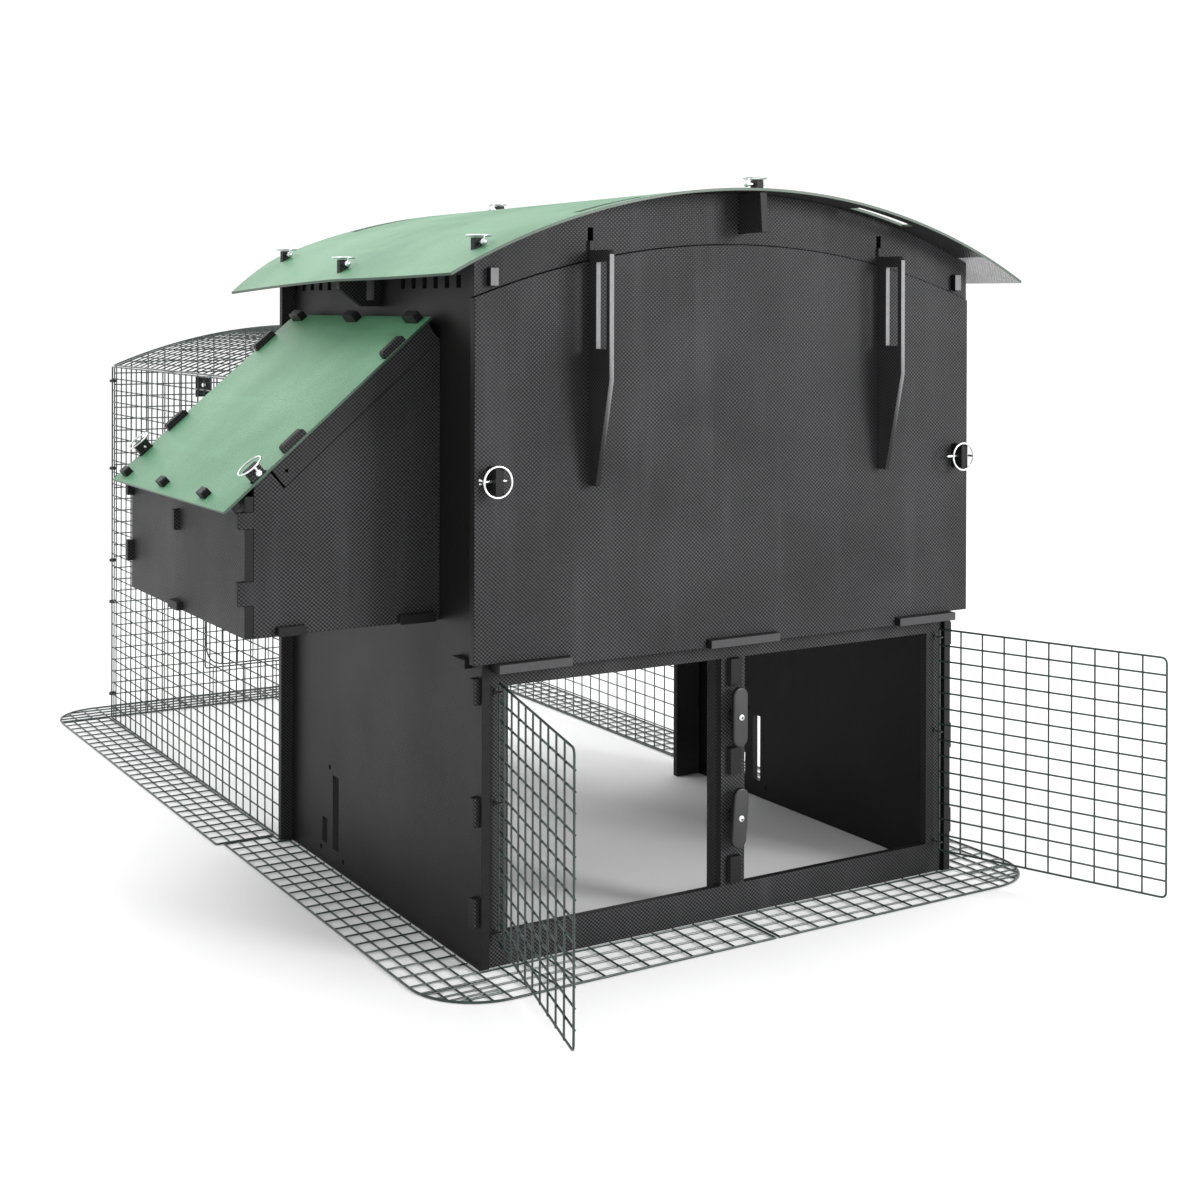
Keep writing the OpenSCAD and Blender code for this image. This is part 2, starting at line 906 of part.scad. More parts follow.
module turn_button_upper() {
    turn_button(button_z()[1], 0);
}

module turn_button_lower() {
    turn_button(button_z()[0], 4);
}

module turn_button_screws() {
    color(steel)
        for (z = button_z())
            translate([0, board_y, z])
                rotate([90, 0, 0]) {
                    cylinder(d = 5, h = board_y - door_y + 11.4);
                    translate([0, 0, board_y - door_y + 11.4])
                        cylinder(d = 10, h = 3);
                }
}

// Door that slides up outside the rear wall
module pop_door() {
    y = rear_y + board_t + 1;
    low = pop_z - 12;
    high = pop_z + pop_h + 12;
    color(black)
        difference() {
            span([-pop_w / 2 - 14, y, low], [pop_w / 2 + 14, y + 6, high]);
            translate([0, y - 1, high - 40])
                rotate([-90, 0, 0])
                    cylinder(d = 24, h = 8);
        }
}

// Upright rails that the pop door runs in
module pop_door_guides() {
    y = rear_y + board_t;
    color(black)
        for (s = [-1, 1])
            scale([s, 1, 1])
                translate([0, 0, pop_z - 12])
                    linear_extrude(pop_h * 2 + 14)
                        union() {
                            rect([pop_w / 2 + 15, y], [pop_w / 2 + 27, y + 12]);
                            rect([pop_w / 2 + 5, y + 8], [pop_w / 2 + 20, y + 12]);
                        }
}

// Ramp from the pop hole down into the run, with cleats across it
module ramp() {
    color(black)
        translate([0, ramp_hinge[0], ramp_hinge[1]])
            rotate([-ramp_slope, 0, 0])
                difference() {
                    union() {
                        span([-ramp_w / 2, 13, -6], [ramp_w / 2, ramp_len - 6, 6]);
                        for (s = [-1, 1])
                            translate([s * 60 - 15, 0, 0])
                                rotate([0, 90, 0])
                                    cylinder(d = 12, h = 30);
                        for (s = [-1, 1])
                            span([s * 60 - 15, 0, -6], [s * 60 + 15, 15, 6]);
                        for (i = [1:7])
                            span([-ramp_w / 2, i * 82 - 6, 5], [ramp_w / 2, i * 82 + 6, 14]);
                    }
                    rotate([0, 90, 0])
                        cylinder(d = 6.4, h = ramp_w, center = true);
                }
}

// Lugs under the pop hole with the rod that the ramp hangs on
module ramp_brackets() {
    y = rear_y + board_t;
    color(black)
        union() {
            translate([-102, ramp_hinge[0], ramp_hinge[1]])
                rotate([0, 90, 0])
                    cylinder(d = 6, h = 204);
            for (x = [-102, -32, 24, 94])
                span([x, y, ramp_hinge[1] - 8], [x + 8, ramp_hinge[0] + 8, ramp_hinge[1] + 8]);
        }
}

// Side panel of the run in (y, z): plain bars stand for the fine mesh
module run_side(x) {
    cols = 7;
    rows = 8;
    color(wire_green)
        plate_x(x - rim_d / 2, rim_d)
            translate([run_y + rim_d, rim_d / 2])
                grid(cols, rows, [(run_len - 2 * rim_d) / cols, (run_wall_h - rim_d) / rows], wire_d, rim_d);
}

module run_left_mesh() {
    run_side(-run_x);
}

module run_right_mesh() {
    run_side(run_x);
}

// Arched roof of the run
module run_roof_mesh() {
    centre_z = run_crest - run_r;
    low = run_wall_h + 1.5;
    length = run_end_y - 2.5 - run_roof_y;
    cols = 7;
    rows = 9;
    reach = asin((run_x - 2) / run_r);
    pitch = (length - rim_d) / cols;
    step = 2 * reach / rows;
    color(wire_green)
        difference() {
            plate_y(run_roof_y, length)
                intersection() {
                    difference() {
                        translate([0, centre_z])
                            circle(run_r, $fn = 360);
                        translate([0, centre_z])
                            circle(run_r - rim_d, $fn = 360);
                    }
                    rect([-run_x + 2, low], [run_x - 2, run_crest]);
                }
            for (i = [0:cols - 1], j = [0:rows - 1])
                translate([0, 0, centre_z])
                    rotate([0, -reach + (j + 0.5) * step, 0])
                        translate([0, run_roof_y + rim_d / 2 + (i + 0.5) * pitch, run_r])
                            cube([run_r * step * PI / 180 - rim_d, pitch - rim_d, 20], center = true);
        }
}

// End panel of the run with the opening for its door
module run_end_mesh() {
    centre_z = run_crest - run_r - rim_d - 1;
    cols = 6;
    rows = 9;
    px = (2 * run_x - 8) / cols;
    pz = run_crest / rows;
    color(wire_green)
        plate_y(run_end_y - rim_d / 2, rim_d)
            intersection() {
                difference() {
                    rect([-run_x + 4, 0], [run_x - 4, run_crest]);
                    difference() {
                        intersection() {
                            rect([-run_x + 4 + rim_d, rim_d], [run_x - 4 - rim_d, run_crest]);
                            translate([0, centre_z])
                                circle(run_r - rim_d, $fn = 360);
                        }
                        for (i = [1:cols - 1])
                            rect([-run_x + 4 + i * px - wire_d / 2, 0],
                                 [-run_x + 4 + i * px + wire_d / 2, run_crest]);
                        for (j = [1:rows - 1])
                            rect([-run_x, j * pz - wire_d / 2], [run_x, j * pz + wire_d / 2]);
                        rect([-end_door_w / 2 - 6, end_door_z - 6],
                             [end_door_w / 2 + 6, end_door_z + end_door_h + 6]);
                    }
                    rect([-end_door_w / 2 - 3, end_door_z - 3],
                         [end_door_w / 2 + 3, end_door_z + end_door_h + 3]);
                }
                translate([0, centre_z])
                    circle(run_r, $fn = 360);
            }
}

// Door in the run's end, hung on rings at its right edge
module run_end_door() {
    color(wire_green)
        plate_y(run_door_y - wire_d / 2, wire_d)
            translate([-end_door_w / 2, end_door_z])
                grid(3, 6, [end_door_w / 3, end_door_h / 6], wire_d, rim_d);
}

// Rings that join the door's edge wire to the opening's edge wire
module run_door_rings() {
    color(black)
        for (z = [end_door_z + 50, end_door_z + 350, end_door_z + 550])
            translate([run_door_x, run_door_y, z])
                rotate_extrude()
                    translate([4.2, 0])
                        circle(d = 2, $fn = 24);
}

// Latch plate at the upper left corner of the run's door
module run_door_latch() {
    color(black)
        translate([-run_door_x - 27, run_end_y + rim_d / 2 + 0.1, end_door_z + end_door_h + 3.6])
            difference() {
                cube([37, 4, 46]);
                translate([18, -1, 26])
                    rotate([-90, 0, 0])
                        cylinder(d = 9, h = 6);
            }
}

// Clips round the upright corner wires of the run
module run_clips() {
    color(black)
        for (s = [-1, 1], z = [50, 250, 340, 540, 730])
            translate([s * (run_x - 2.6), run_end_y - 1, z])
                difference() {
                    cylinder(d = 15.6, h = 6);
                    translate([0, 0, -1])
                        cylinder(d = 12, h = 8);
                }
}

// Strip of ground skirt along y, from y0 to y1, out from x
module skirt_strip(x, y0, y1, cols) {
    color(wire_green)
        translate([x, y0, 0])
            linear_extrude(rim_d)
                grid(2, cols, [skirt_w / 2, (y1 - y0) / cols], wire_d, rim_d);
}

// Skirt along one side of the house, round its front corner and half way across the front
module skirt_side() {
    front = wall_y - 3;
    past_x = rear_half + 2;                 // inner edge where the skirt passes the rear wall
    turn_y = rear_y - 2;
    x_mid = 2.5;
    rows = 9;
    cols = 6;
    long = (turn_y - front) / rows;
    wide = (skirt_x - x_mid) / cols;
    half = skirt_w / 2;
    color(wire_green)
        linear_extrude(rim_d)
            difference() {
                union() {
                    rect([skirt_x, front], [skirt_x + skirt_w, turn_y]);
                    rect([past_x, turn_y - 1], [skirt_x + skirt_w, skirt_back_y]);
                    rect([x_mid, front - skirt_w], [skirt_x + 1, front]);
                    quarter(skirt_x, front, skirt_w);
                }
                for (i = [0:1], j = [0:rows - 1])
                    rect([skirt_x + (i == 0 ? rim_d : half + 1), front + 1.5 + j * long],
                         [skirt_x + (i == 0 ? half - 1 : skirt_w - rim_d), front - 1.5 + (j + 1) * long]);
                rect([past_x + rim_d, turn_y + 1.5], [skirt_x + skirt_w - rim_d, skirt_back_y - rim_d]);
                for (i = [0:cols - 1], j = [0:1])
                    rect([x_mid + (i == 0 ? rim_d : 1.5) + i * wide,
                          front - (j == 0 ? half - 1 : skirt_w - rim_d)],
                         [x_mid + (i + 1) * wide - 1.5, front - (j == 0 ? rim_d : half + 1)]);
                intersection() {
                    quarter(skirt_x, front, skirt_w - rim_d);
                    for (a = [0, 1], b = [0, 1])
                        rect([skirt_x + (a == 0 ? 1.5 : half + 1), front - (b == 0 ? half - 1 : skirt_w)],
                             [skirt_x + (a == 0 ? half - 1 : skirt_w), front - (b == 0 ? 1.5 : half + 1)]);
                }
            }
}

// Quarter disc of radius r in front of and to the right of (x, y)
module quarter(x, y, r) {
    intersection() {
        translate([x, y])
            circle(r, $fn = 120);
        rect([x - 0.01, y - r], [x + r, y + 0.01]);
    }
}

module skirt_left() {
    mirror([1, 0, 0])
        skirt_side();
}

module skirt_right() {
    skirt_side();
}

module run_skirt_left() {
    mirror([1, 0, 0])
        skirt_strip(run_skirt_x, skirt_back_y + 5, run_end_y, 13);
}

module run_skirt_right() {
    skirt_strip(run_skirt_x, skirt_back_y + 5, run_end_y, 13);
}

// Skirt across the run's end with both rounded outer corners
module run_skirt_end() {
    y0 = run_end_y + 4;
    w = run_skirt_x;
    color(wire_green)
        linear_extrude(rim_d)
            difference() {
                union() {
                    rect([-w, y0], [w, y0 + skirt_w]);
                    for (s = [-1, 1])
                        translate([s * w, y0])
                            intersection() {
                                circle(skirt_w, $fn = 120);
                                translate([s > 0 ? 0 : -skirt_w, 0])
                                    square(skirt_w);
                            }
                }
                for (i = [0:11], j = [0:1])
                    rect([-w + i * w / 6 + 1.5, y0 + rim_d + j * (skirt_w - rim_d) / 2],
                         [-w + (i + 1) * w / 6 - 1.5, y0 + (j + 1) * (skirt_w - rim_d) / 2]);
                for (s = [-1, 1])
                    translate([s * w, y0])
                        scale([s, 1])
                            intersection() {
                                circle(skirt_w - rim_d, $fn = 120);
                                union() {
                                    rect([1.5, rim_d], [skirt_w / 2 - 1, skirt_w / 2 - 1]);
                                    rect([skirt_w / 2 + 1, rim_d], [skirt_w, skirt_w / 2 - 1]);
                                    rect([1.5, skirt_w / 2 + 1], [skirt_w / 2 - 1, skirt_w]);
                                    rect([skirt_w / 2 + 1, skirt_w / 2 + 1], [skirt_w, skirt_w]);
                                }
                            }
            }
}

left_wall();
right_wall();
front_board();
post_beam();
rear_wall();
house_floor();
front_gable();
ridge_board();
perch_front();
perch_rear();
eave_bracket_left();
eave_bracket_right();
roof_sheet();
roof_linchpins();
front_panel();
panel_handle_left();
panel_handle_right();
panel_pin_left();
panel_pin_right();
nest_floor();
nest_outer_wall();
nest_side_front();
nest_side_rear();
nest_divider();
nest_lid();
lid_hooks();
lid_batten();
lid_cheek_front();
lid_cheek_rear();
nest_pin_front();
nest_pin_rear();
left_door();
right_door();
left_door_eyes();
right_door_eyes();
turn_button_upper();
turn_button_lower();
turn_button_screws();
pop_door();
pop_door_guides();
ramp();
ramp_brackets();
run_left_mesh();
run_right_mesh();
run_roof_mesh();
run_end_mesh();
run_end_door();
run_door_rings();
run_door_latch();
run_clips();
skirt_left();
skirt_right();
run_skirt_left();
run_skirt_right();
run_skirt_end();
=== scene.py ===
"""Looks of a raised chicken coop: board house, green sheet roof, nest box and welded wire run."""
import logging
import math
from dataclasses import dataclass, field
from enum import Enum
from typing import Sequence

import bmesh
import bpy
from mathutils import Matrix, Vector


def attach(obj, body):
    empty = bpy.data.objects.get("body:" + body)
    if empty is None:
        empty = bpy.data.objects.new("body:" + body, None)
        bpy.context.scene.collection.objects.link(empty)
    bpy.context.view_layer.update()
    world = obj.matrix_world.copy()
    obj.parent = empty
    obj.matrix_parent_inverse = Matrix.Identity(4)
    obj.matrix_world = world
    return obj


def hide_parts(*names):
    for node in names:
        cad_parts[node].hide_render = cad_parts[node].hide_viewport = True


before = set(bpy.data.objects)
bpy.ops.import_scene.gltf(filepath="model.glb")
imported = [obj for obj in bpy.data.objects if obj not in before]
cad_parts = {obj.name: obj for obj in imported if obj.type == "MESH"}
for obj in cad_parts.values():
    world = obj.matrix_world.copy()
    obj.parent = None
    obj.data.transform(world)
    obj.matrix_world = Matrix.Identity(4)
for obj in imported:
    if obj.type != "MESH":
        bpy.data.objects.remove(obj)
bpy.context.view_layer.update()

log = logging.getLogger("coop")

Triple = tuple[float, float, float]
Rgb = Triple
Path = Sequence[Vector]
Profile = Sequence[tuple[float, float]]
Socket = bpy.types.NodeSocket
Material = bpy.types.Material
Thing = bpy.types.Object

EDGE_WIDTH = 0.0007          # softened edge of a sawn board
SOFT_EDGE = 0.0012           # softened edge of a moulded or rubbed board
PERCH_EDGE = 0.002
MERGE_GAP = 0.00001          # vertices closer than this are one
EDGE_ANGLE = 35.0            # degrees that an edge turns before it is softened
FLAT_WEIGHT = 90             # pull of the broad faces on the shading
RIM_SIDES = 10               # corners in the section of an edge wire
WIRE_LAP = 0.85              # part of its radius that a crossing wire stands off
LID_SLOPE = 40.5             # degrees that the nest lid falls away from the wall
LID_RUN, LID_RISE = math.cos(math.radians(LID_SLOPE)), math.sin(math.radians(LID_SLOPE))
X, Y, Z = Vector((1, 0, 0)), Vector((0, 1, 0)), Vector((0, 0, 1))


# --------------------------------------------------------------------------- node helpers


class Shader:
    """A node material under construction, with short calls for the nodes it needs."""

    def __init__(self, name: str) -> None:
        """Start an empty material.

        Args:
            name: The material's name.
        """
        self.material = bpy.data.materials.new(name)
        self.material.use_nodes = True
        self.tree = self.material.node_tree
        self.tree.nodes.clear()
        self.surface = self.tree.nodes.new("ShaderNodeBsdfPrincipled")
        output = self.tree.nodes.new("ShaderNodeOutputMaterial")
        self.tree.links.new(self.surface.outputs[0], output.inputs[0])

    def add(self, kind: str, **settings: object) -> bpy.types.Node:
        """Add one node.

        Args:
            kind: The node's type without its ShaderNode prefix.
            settings: Attributes to set on it.

        Returns:
            The new node.
        """
        node = self.tree.nodes.new("ShaderNode" + kind)
        for key, value in settings.items():
            setattr(node, key, value)
        return node

    def plug(self, socket: Socket, value: object) -> None:
        """Link a socket to another socket, or set its value.

        Args:
            socket: The input.
            value: An output socket, a number or a tuple.
        """
        if isinstance(value, Socket):
            self.tree.links.new(value, socket)
        else:
            socket.default_value = value

    def math(self, operation: str, a: object, b: object = 0.0, c: object = 0.0) -> Socket:
        """Add a math node.

        Args:
            operation: Its operation.
            a: First operand.
            b: Second operand.
            c: Third operand.

        Returns:
            The result.
        """
        node = self.add("Math", operation=operation)
        for socket, value in zip(node.inputs, (a, b, c)):
            self.plug(socket, value)
        return node.outputs[0]

    def dot(self, vector: Socket, axis: Triple) -> Socket:
        """Measure a vector along a fixed axis.

        Args:
            vector: The vector.
            axis: The axis, of unit length.

        Returns:
            Its length along the axis.
        """
        node = self.add("VectorMath", operation="DOT_PRODUCT")
        self.plug(node.inputs[0], vector)
        node.inputs[1].default_value = axis
        return node.outputs["Value"]

    def noise(self, scale: float, detail: float = 3.0, stretch: Triple = (1, 1, 1)) -> Socket:
        """Add noise over the piece's own coordinates.

        Args:
            scale: Cells to the metre.
            detail: Octaves.
            stretch: How much finer it is along each axis.

        Returns:
            The noise, 0 to 1.
        """
        mapping = self.add("Mapping")
        mapping.inputs["Scale"].default_value = stretch
        self.plug(mapping.inputs["Vector"], self.place())
        node = self.add("TexNoise")
        node.inputs["Scale"].default_value = scale
        node.inputs["Detail"].default_value = detail
        self.plug(node.inputs["Vector"], mapping.outputs[0])
        return node.outputs[0]

    def place(self) -> Socket:
        """Return the piece's own coordinates."""
        return self.add("TexCoord").outputs["Object"]

    def normal(self) -> Socket:
        """Find which way the surface faces.

        Returns:
            The surface normal in the piece's own coordinates.
        """
        node = self.add("VectorTransform", vector_type="NORMAL", convert_from="WORLD", convert_to="OBJECT")
        self.plug(node.inputs[0], self.add("NewGeometry").outputs["Normal"])
        return node.outputs[0]

    def step(self, value: object, low: float, high: float) -> Socket:
        """Add a smooth step.

        Args:
            value: What is compared.
            low: Where the step starts.
            high: Where it ends.

        Returns:
            0 below low and 1 above high.
        """
        node = self.add("MapRange", interpolation_type="SMOOTHSTEP")
        for name, number in (("Value", value), ("From Min", low), ("From Max", high)):
            self.plug(node.inputs[name], number)
        return node.outputs[0]

    def mix(self, factor: object, a: object, b: object) -> Socket:
        """Mix two colours.

        Args:
            factor: 0 for a, 1 for b.
            a: First colour, a socket or three numbers.
            b: Second colour.

        Returns:
            The mixed colour.
        """
        node = self.add("Mix", data_type="RGBA")
        self.plug(node.inputs[0], factor)
        for socket, value in ((node.inputs[6], a), (node.inputs[7], b)):
            self.plug(socket, (*value, 1.0) if isinstance(value, tuple) else value)
        return node.outputs[2]

    def bump(self, height: object, distance: float, below: object = None) -> Socket:
        """Add a bump.

        Args:
            height: The relief, 0 to 1.
            distance: Its depth in metres.
            below: A normal that it adds to.

        Returns:
            The bumped normal.
        """
        node = self.add("Bump")
        node.inputs["Distance"].default_value = distance
        self.plug(node.inputs["Height"], height)
        if below is not None:
            self.plug(node.inputs["Normal"], below)
        return node.outputs[0]

    def rounded(self, radius: float) -> tuple[Socket, Socket]:
        """Round the piece's edges in its shading.

        Args:
            radius: Radius of the rounding in metres.

        Returns:
            The rounded normal, and a mask that is 1 along the edges.
        """
        bevel = self.add("Bevel", samples=4)
        bevel.inputs["Radius"].default_value = radius
        apart = self.add("VectorMath", operation="DOT_PRODUCT")
        self.plug(apart.inputs[0], bevel.outputs[0])
        self.plug(apart.inputs[1], self.add("NewGeometry").outputs["Normal"])
        return bevel.outputs[0], self.math("SUBTRACT", 1.0, self.step(apart.outputs["Value"], 0.72, 0.99))


# --------------------------------------------------------------------------- finishes


class Face(Enum):
    """Which way a board's broad faces lie: its two in-plane directions and its normal."""

    ACROSS = ((1, 0, 0), (0, 0, 1), (0, 1, 0))
    ALONG = ((0, 1, 0), (0, 0, 1), (1, 0, 0))
    LEVEL = ((1, 0, 0), (0, 1, 0), (0, 0, 1))
    LID = ((LID_RUN, 0, LID_RISE), (0, 1, 0), (-LID_RISE, 0, LID_RUN))


@dataclass(frozen=True)
class BoardFinish:
    """Recycled plastic board: embossed broad faces with painted light on the raised parts and painted shade in
    the pits, sawn edges with a painted highlight where they face the front, flecks and soft wear.
    """

    name: str
    face: Face
    top: Rgb                     # raised parts of the emboss, lighter as painted light
    pit_shade: Rgb                     # bottoms of the emboss, darkened as painted shade
    edge: Rgb                    # sawn edges
    emboss: float = 0.00045      # depth of the diamonds
    pitch: float = 0.0062        # two diamonds across
    squat: float = 0.88          # height of a diamond over its width
    grain: float = 0.00008       # depth of the fine grain
    rough: float = 0.46
    shine: float = 0.16
    wear: float = 0.35
    front_highlight: Rgb | None = None      # painted highlight on the sawn faces that face the front and stand out of it
    front_highlight_above: float = 0.0      # only above this height
    front_highlight_proud: float = 0.031    # only this far out of the front

    def material(self) -> Material:
        """Build the node material."""
        return self.paint().material

    def paint(self) -> Shader:
        """Lay out the nodes.

        Returns:
            The shader, complete but open to further layers.
        """
        s = Shader(self.name)
        place, (u_axis, v_axis, w_axis) = s.place(), self.face.value
        u, v = s.dot(place, u_axis), s.dot(place, v_axis)
        across = s.math("SINE", s.math("MULTIPLY", u, 2 * math.pi / self.pitch))
        upright = s.math("SINE", s.math("MULTIPLY", v, 2 * math.pi / (self.pitch * self.squat)))
        diamonds = s.math("MULTIPLY", across, upright)
        diamonds = s.step(s.math("MULTIPLY_ADD", diamonds, 0.5, 0.5), 0.28, 0.76)
        broad = s.step(s.math("ABSOLUTE", s.dot(s.normal(), w_axis)), 0.6, 0.8)
        mottle, flecks = s.noise(5.0, 5.0), s.noise(340.0, 2.0)
        drawn = s.noise(26.0, 4.0, tuple(0.12 if abs(c) > 0.5 else 1.0 for c in v_axis))
        # painted light on the raised diamonds and painted shade in the pits
        emboss_light_and_shade = s.mix(diamonds, self.pit_shade, self.top)
        cloudy = s.mix(s.math("MULTIPLY", s.step(mottle, 0.35, 0.75), 0.45), emboss_light_and_shade, self.pit_shade)
        streaky = s.mix(s.math("MULTIPLY", s.step(drawn, 0.5, 0.8), 0.3), cloudy, self.top)
        sawn = s.mix(s.math("MULTIPLY", s.noise(700.0, 2.0, (1, 1, 0.08)), 0.5), self.edge, self.pit_shade)
        normal, worn = s.rounded(SOFT_EDGE)
        if self.front_highlight is not None:
            # painted highlight on the sawn faces that face the front lamp
            sawn = s.mix(self.front_highlight_mask(s), sawn, self.front_highlight)
        colour = s.mix(broad, sawn, streaky)
        colour = s.mix(s.math("MULTIPLY", s.step(flecks, 0.66, 0.74), 0.35), colour, self.edge)
        colour = s.mix(s.math("MULTIPLY", worn, self.wear), colour, self.edge)
        s.plug(s.surface.inputs["Base Color"], colour)
        s.plug(s.surface.inputs["Roughness"], s.math("MULTIPLY_ADD", mottle, 0.22, self.rough - 0.1))
        s.surface.inputs["Specular IOR Level"].default_value = self.shine
        relief = s.math("MULTIPLY", diamonds, broad)
        embossed = s.bump(relief, self.emboss, normal)
        s.plug(s.surface.inputs["Normal"], s.bump(s.noise(900.0, 3.0), self.grain, embossed))
        return s

    def front_highlight_mask(self, s: Shader) -> Socket:
        """Mask where a painted highlight goes: the upright sawn faces that face the front lamp.

        Args:
            s: The material under construction.

        Returns:
            1 on those faces, with fine saw marks, and 0 elsewhere.
        """
        normal, place = s.normal(), s.place()
        facing = s.step(s.math("MULTIPLY", s.dot(normal, (0, 1, 0)), -1.0), 0.90, 0.99)
        upright = s.step(s.dot(normal, (0, 0, 1)), -0.22, -0.05)
        out = s.math("MULTIPLY", s.dot(place, (0, 1, 0)), -1.0)
        proud = s.step(out, self.front_highlight_proud, self.front_highlight_proud + 0.003)
        above = s.step(s.dot(place, (0, 0, 1)), self.front_highlight_above, self.front_highlight_above + 0.001)
        marks = s.math("MULTIPLY_ADD", s.noise(500.0, 3.0, (1, 1, 0.2)), 0.5, 0.65)
        return s.math("MULTIPLY", s.math("MULTIPLY", facing, upright),
                      s.math("MULTIPLY", s.math("MULTIPLY", proud, above), marks))


@dataclass(frozen=True)
class RoofFinish(BoardFinish):
    """Green sheet whose underside gets painted shade, black, between the walls and painted light bounced from
    the floor, pale, outside them.
    """

    underside_shade: Rgb = (0.010, 0.010, 0.011)
    underside_floor_light: Rgb = (0.42, 0.42, 0.43)
    wall_x: float = 0.42

    def paint(self) -> Shader:
        """Lay out the board's nodes, then paint the underside with shade between the walls and floor light
        outside them.

        Returns:
            The shader.
        """
        s = super().paint()
        base = s.surface.inputs["Base Color"]
        green = base.links[0].from_socket
        outside = s.step(s.math("ABSOLUTE", s.dot(s.place(), (1, 0, 0))), self.wall_x, self.wall_x + 0.004)
        # painted shade under the roof between the walls, painted floor light under the overhangs
        under = s.mix(outside, self.underside_shade, self.underside_floor_light)
        under = s.mix(s.math("MULTIPLY", s.noise(60.0, 4.0), 0.25), under, self.underside_shade)
        down = s.step(s.math("MULTIPLY", s.dot(s.normal(), (0, 0, 1)), -1.0), 0.5, 0.7)
        s.plug(base, s.mix(down, green, under))
        return s


@dataclass(frozen=True)
class WireFinish:
    """Green coating drawn on over steel wire, glossy with small runs and scuffs."""

    name: str = "coated_wire"
    deep: Rgb = (0.0015, 0.011, 0.008)
    light: Rgb = (0.005, 0.028, 0.020)
    scuffed: Rgb = (0.012, 0.034, 0.026)
    rough: float = 0.22
    coat: float = 0.25

    def material(self) -> Material:
        """Build the node material.

        Returns:
            The material.
        """
        s = Shader(self.name)
        runs, scuffs = s.noise(55.0, 4.0), s.noise(420.0, 3.0)
        colour = s.mix(s.step(runs, 0.35, 0.7), self.deep, self.light)
        colour = s.mix(s.math("MULTIPLY", s.step(scuffs, 0.68, 0.78), 0.4), colour, self.scuffed)
        s.plug(s.surface.inputs["Base Color"], colour)
        s.plug(s.surface.inputs["Roughness"], s.math("MULTIPLY_ADD", scuffs, 0.25, self.rough))
        s.surface.inputs["Coat Weight"].default_value = self.coat
        s.surface.inputs["Coat Roughness"].default_value = 0.2
        s.plug(s.surface.inputs["Normal"], s.bump(s.noise(260.0, 2.0), 0.0002))
        return s.material


@dataclass(frozen=True)
class SteelFinish:
    """Plated steel with fine scratches and slightly dull patches."""

    name: str
    bright: Rgb = (0.78, 0.79, 0.80)
    dull: Rgb = (0.42, 0.43, 0.44)
    rough: float = 0.16

    def material(self) -> Material:
        """Build the node material.

        Returns:
            The material.
        """
        s = Shader(self.name)
        patches, scratches = s.noise(90.0, 4.0), s.noise(1600.0, 2.0, (1, 0.1, 1))
        s.plug(s.surface.inputs["Base Color"], s.mix(s.step(patches, 0.45, 0.75), self.bright, self.dull))
        s.surface.inputs["Metallic"].default_value = 1.0
        s.plug(s.surface.inputs["Roughness"], s.math("MULTIPLY_ADD", scratches, 0.22, self.rough))
        s.plug(s.surface.inputs["Normal"], s.bump(scratches, 0.00003))
        return s.material


@dataclass(frozen=True)
class FittingFinish:
    """Small black moulded or coated fittings."""

    name: str
    body: Rgb = (0.006, 0.006, 0.0065)
    rubbed: Rgb = (0.03, 0.03, 0.031)
    rough: float = 0.4

    def material(self) -> Material:
        """Build the node material.

        Returns:
            The material.
        """
        s = Shader(self.name)
        normal, worn = s.rounded(SOFT_EDGE)
        grain, cloud = s.noise(1500.0, 3.0), s.noise(40.0, 3.0)
        colour = s.mix(s.math("MULTIPLY", cloud, 0.5), self.body, self.rubbed)
        s.plug(s.surface.inputs["Base Color"], s.mix(s.math("MULTIPLY", worn, 0.6), colour, self.rubbed))
        s.plug(s.surface.inputs["Roughness"], s.math("MULTIPLY_ADD", grain, 0.2, self.rough - 0.1))
        s.plug(s.surface.inputs["Normal"], s.bump(grain, 0.00006, normal))
        return s.material


@dataclass(frozen=True)
class WoodFinish:
    """Planed softwood with its grain along x."""

    name: str = "perch_wood"
    pale: Rgb = (0.42, 0.27, 0.15)
    dark: Rgb = (0.22, 0.12, 0.055)

    def material(self) -> Material:
        """Build the node material.

        Returns:
            The material.
        """
        s = Shader(self.name)
        grain, pores = s.noise(60.0, 5.0, (0.06, 1, 1)), s.noise(900.0, 2.0, (0.03, 1, 1))
        colour = s.mix(s.step(grain, 0.35, 0.7), self.pale, self.dark)
        s.plug(s.surface.inputs["Base Color"], s.mix(s.math("MULTIPLY", pores, 0.3), colour, self.dark))
        s.plug(s.surface.inputs["Roughness"], s.math("MULTIPLY_ADD", grain, 0.2, 0.5))
        normal, _ = s.rounded(PERCH_EDGE)
        s.plug(s.surface.inputs["Normal"], s.bump(pores, 0.0002, normal))
        return s.material


@dataclass(frozen=True)
class FloorFinish:
    """Pale studio floor."""

    name: str = "studio_floor"
    pale: Rgb = (0.90, 0.90, 0.90)
    paler: Rgb = (0.94, 0.94, 0.94)
    rough: float = 0.7

    def material(self) -> Material:
        """Build the node material.

        Returns:
            The material.
        """
        s = Shader(self.name)
        s.plug(s.surface.inputs["Base Color"], s.mix(s.noise(3.0, 4.0), self.pale, self.paler))
        s.surface.inputs["Roughness"].default_value = self.rough
        return s.material


# The three stocks of board: raised colours with painted light, sunk colours with painted shade, and sawn
# colours
CHARCOAL = dict(top=(0.054, 0.054, 0.057), pit_shade=(0.003, 0.003, 0.0033), edge=(0.012, 0.012, 0.0125))
SMOKE = dict(top=(0.012, 0.0116, 0.0113), pit_shade=(0.005, 0.005, 0.005), edge=(0.014, 0.014, 0.014))
MINT = dict(top=(0.160, 0.400, 0.215), pit_shade=(0.014, 0.120, 0.045), edge=(0.016, 0.020, 0.017))


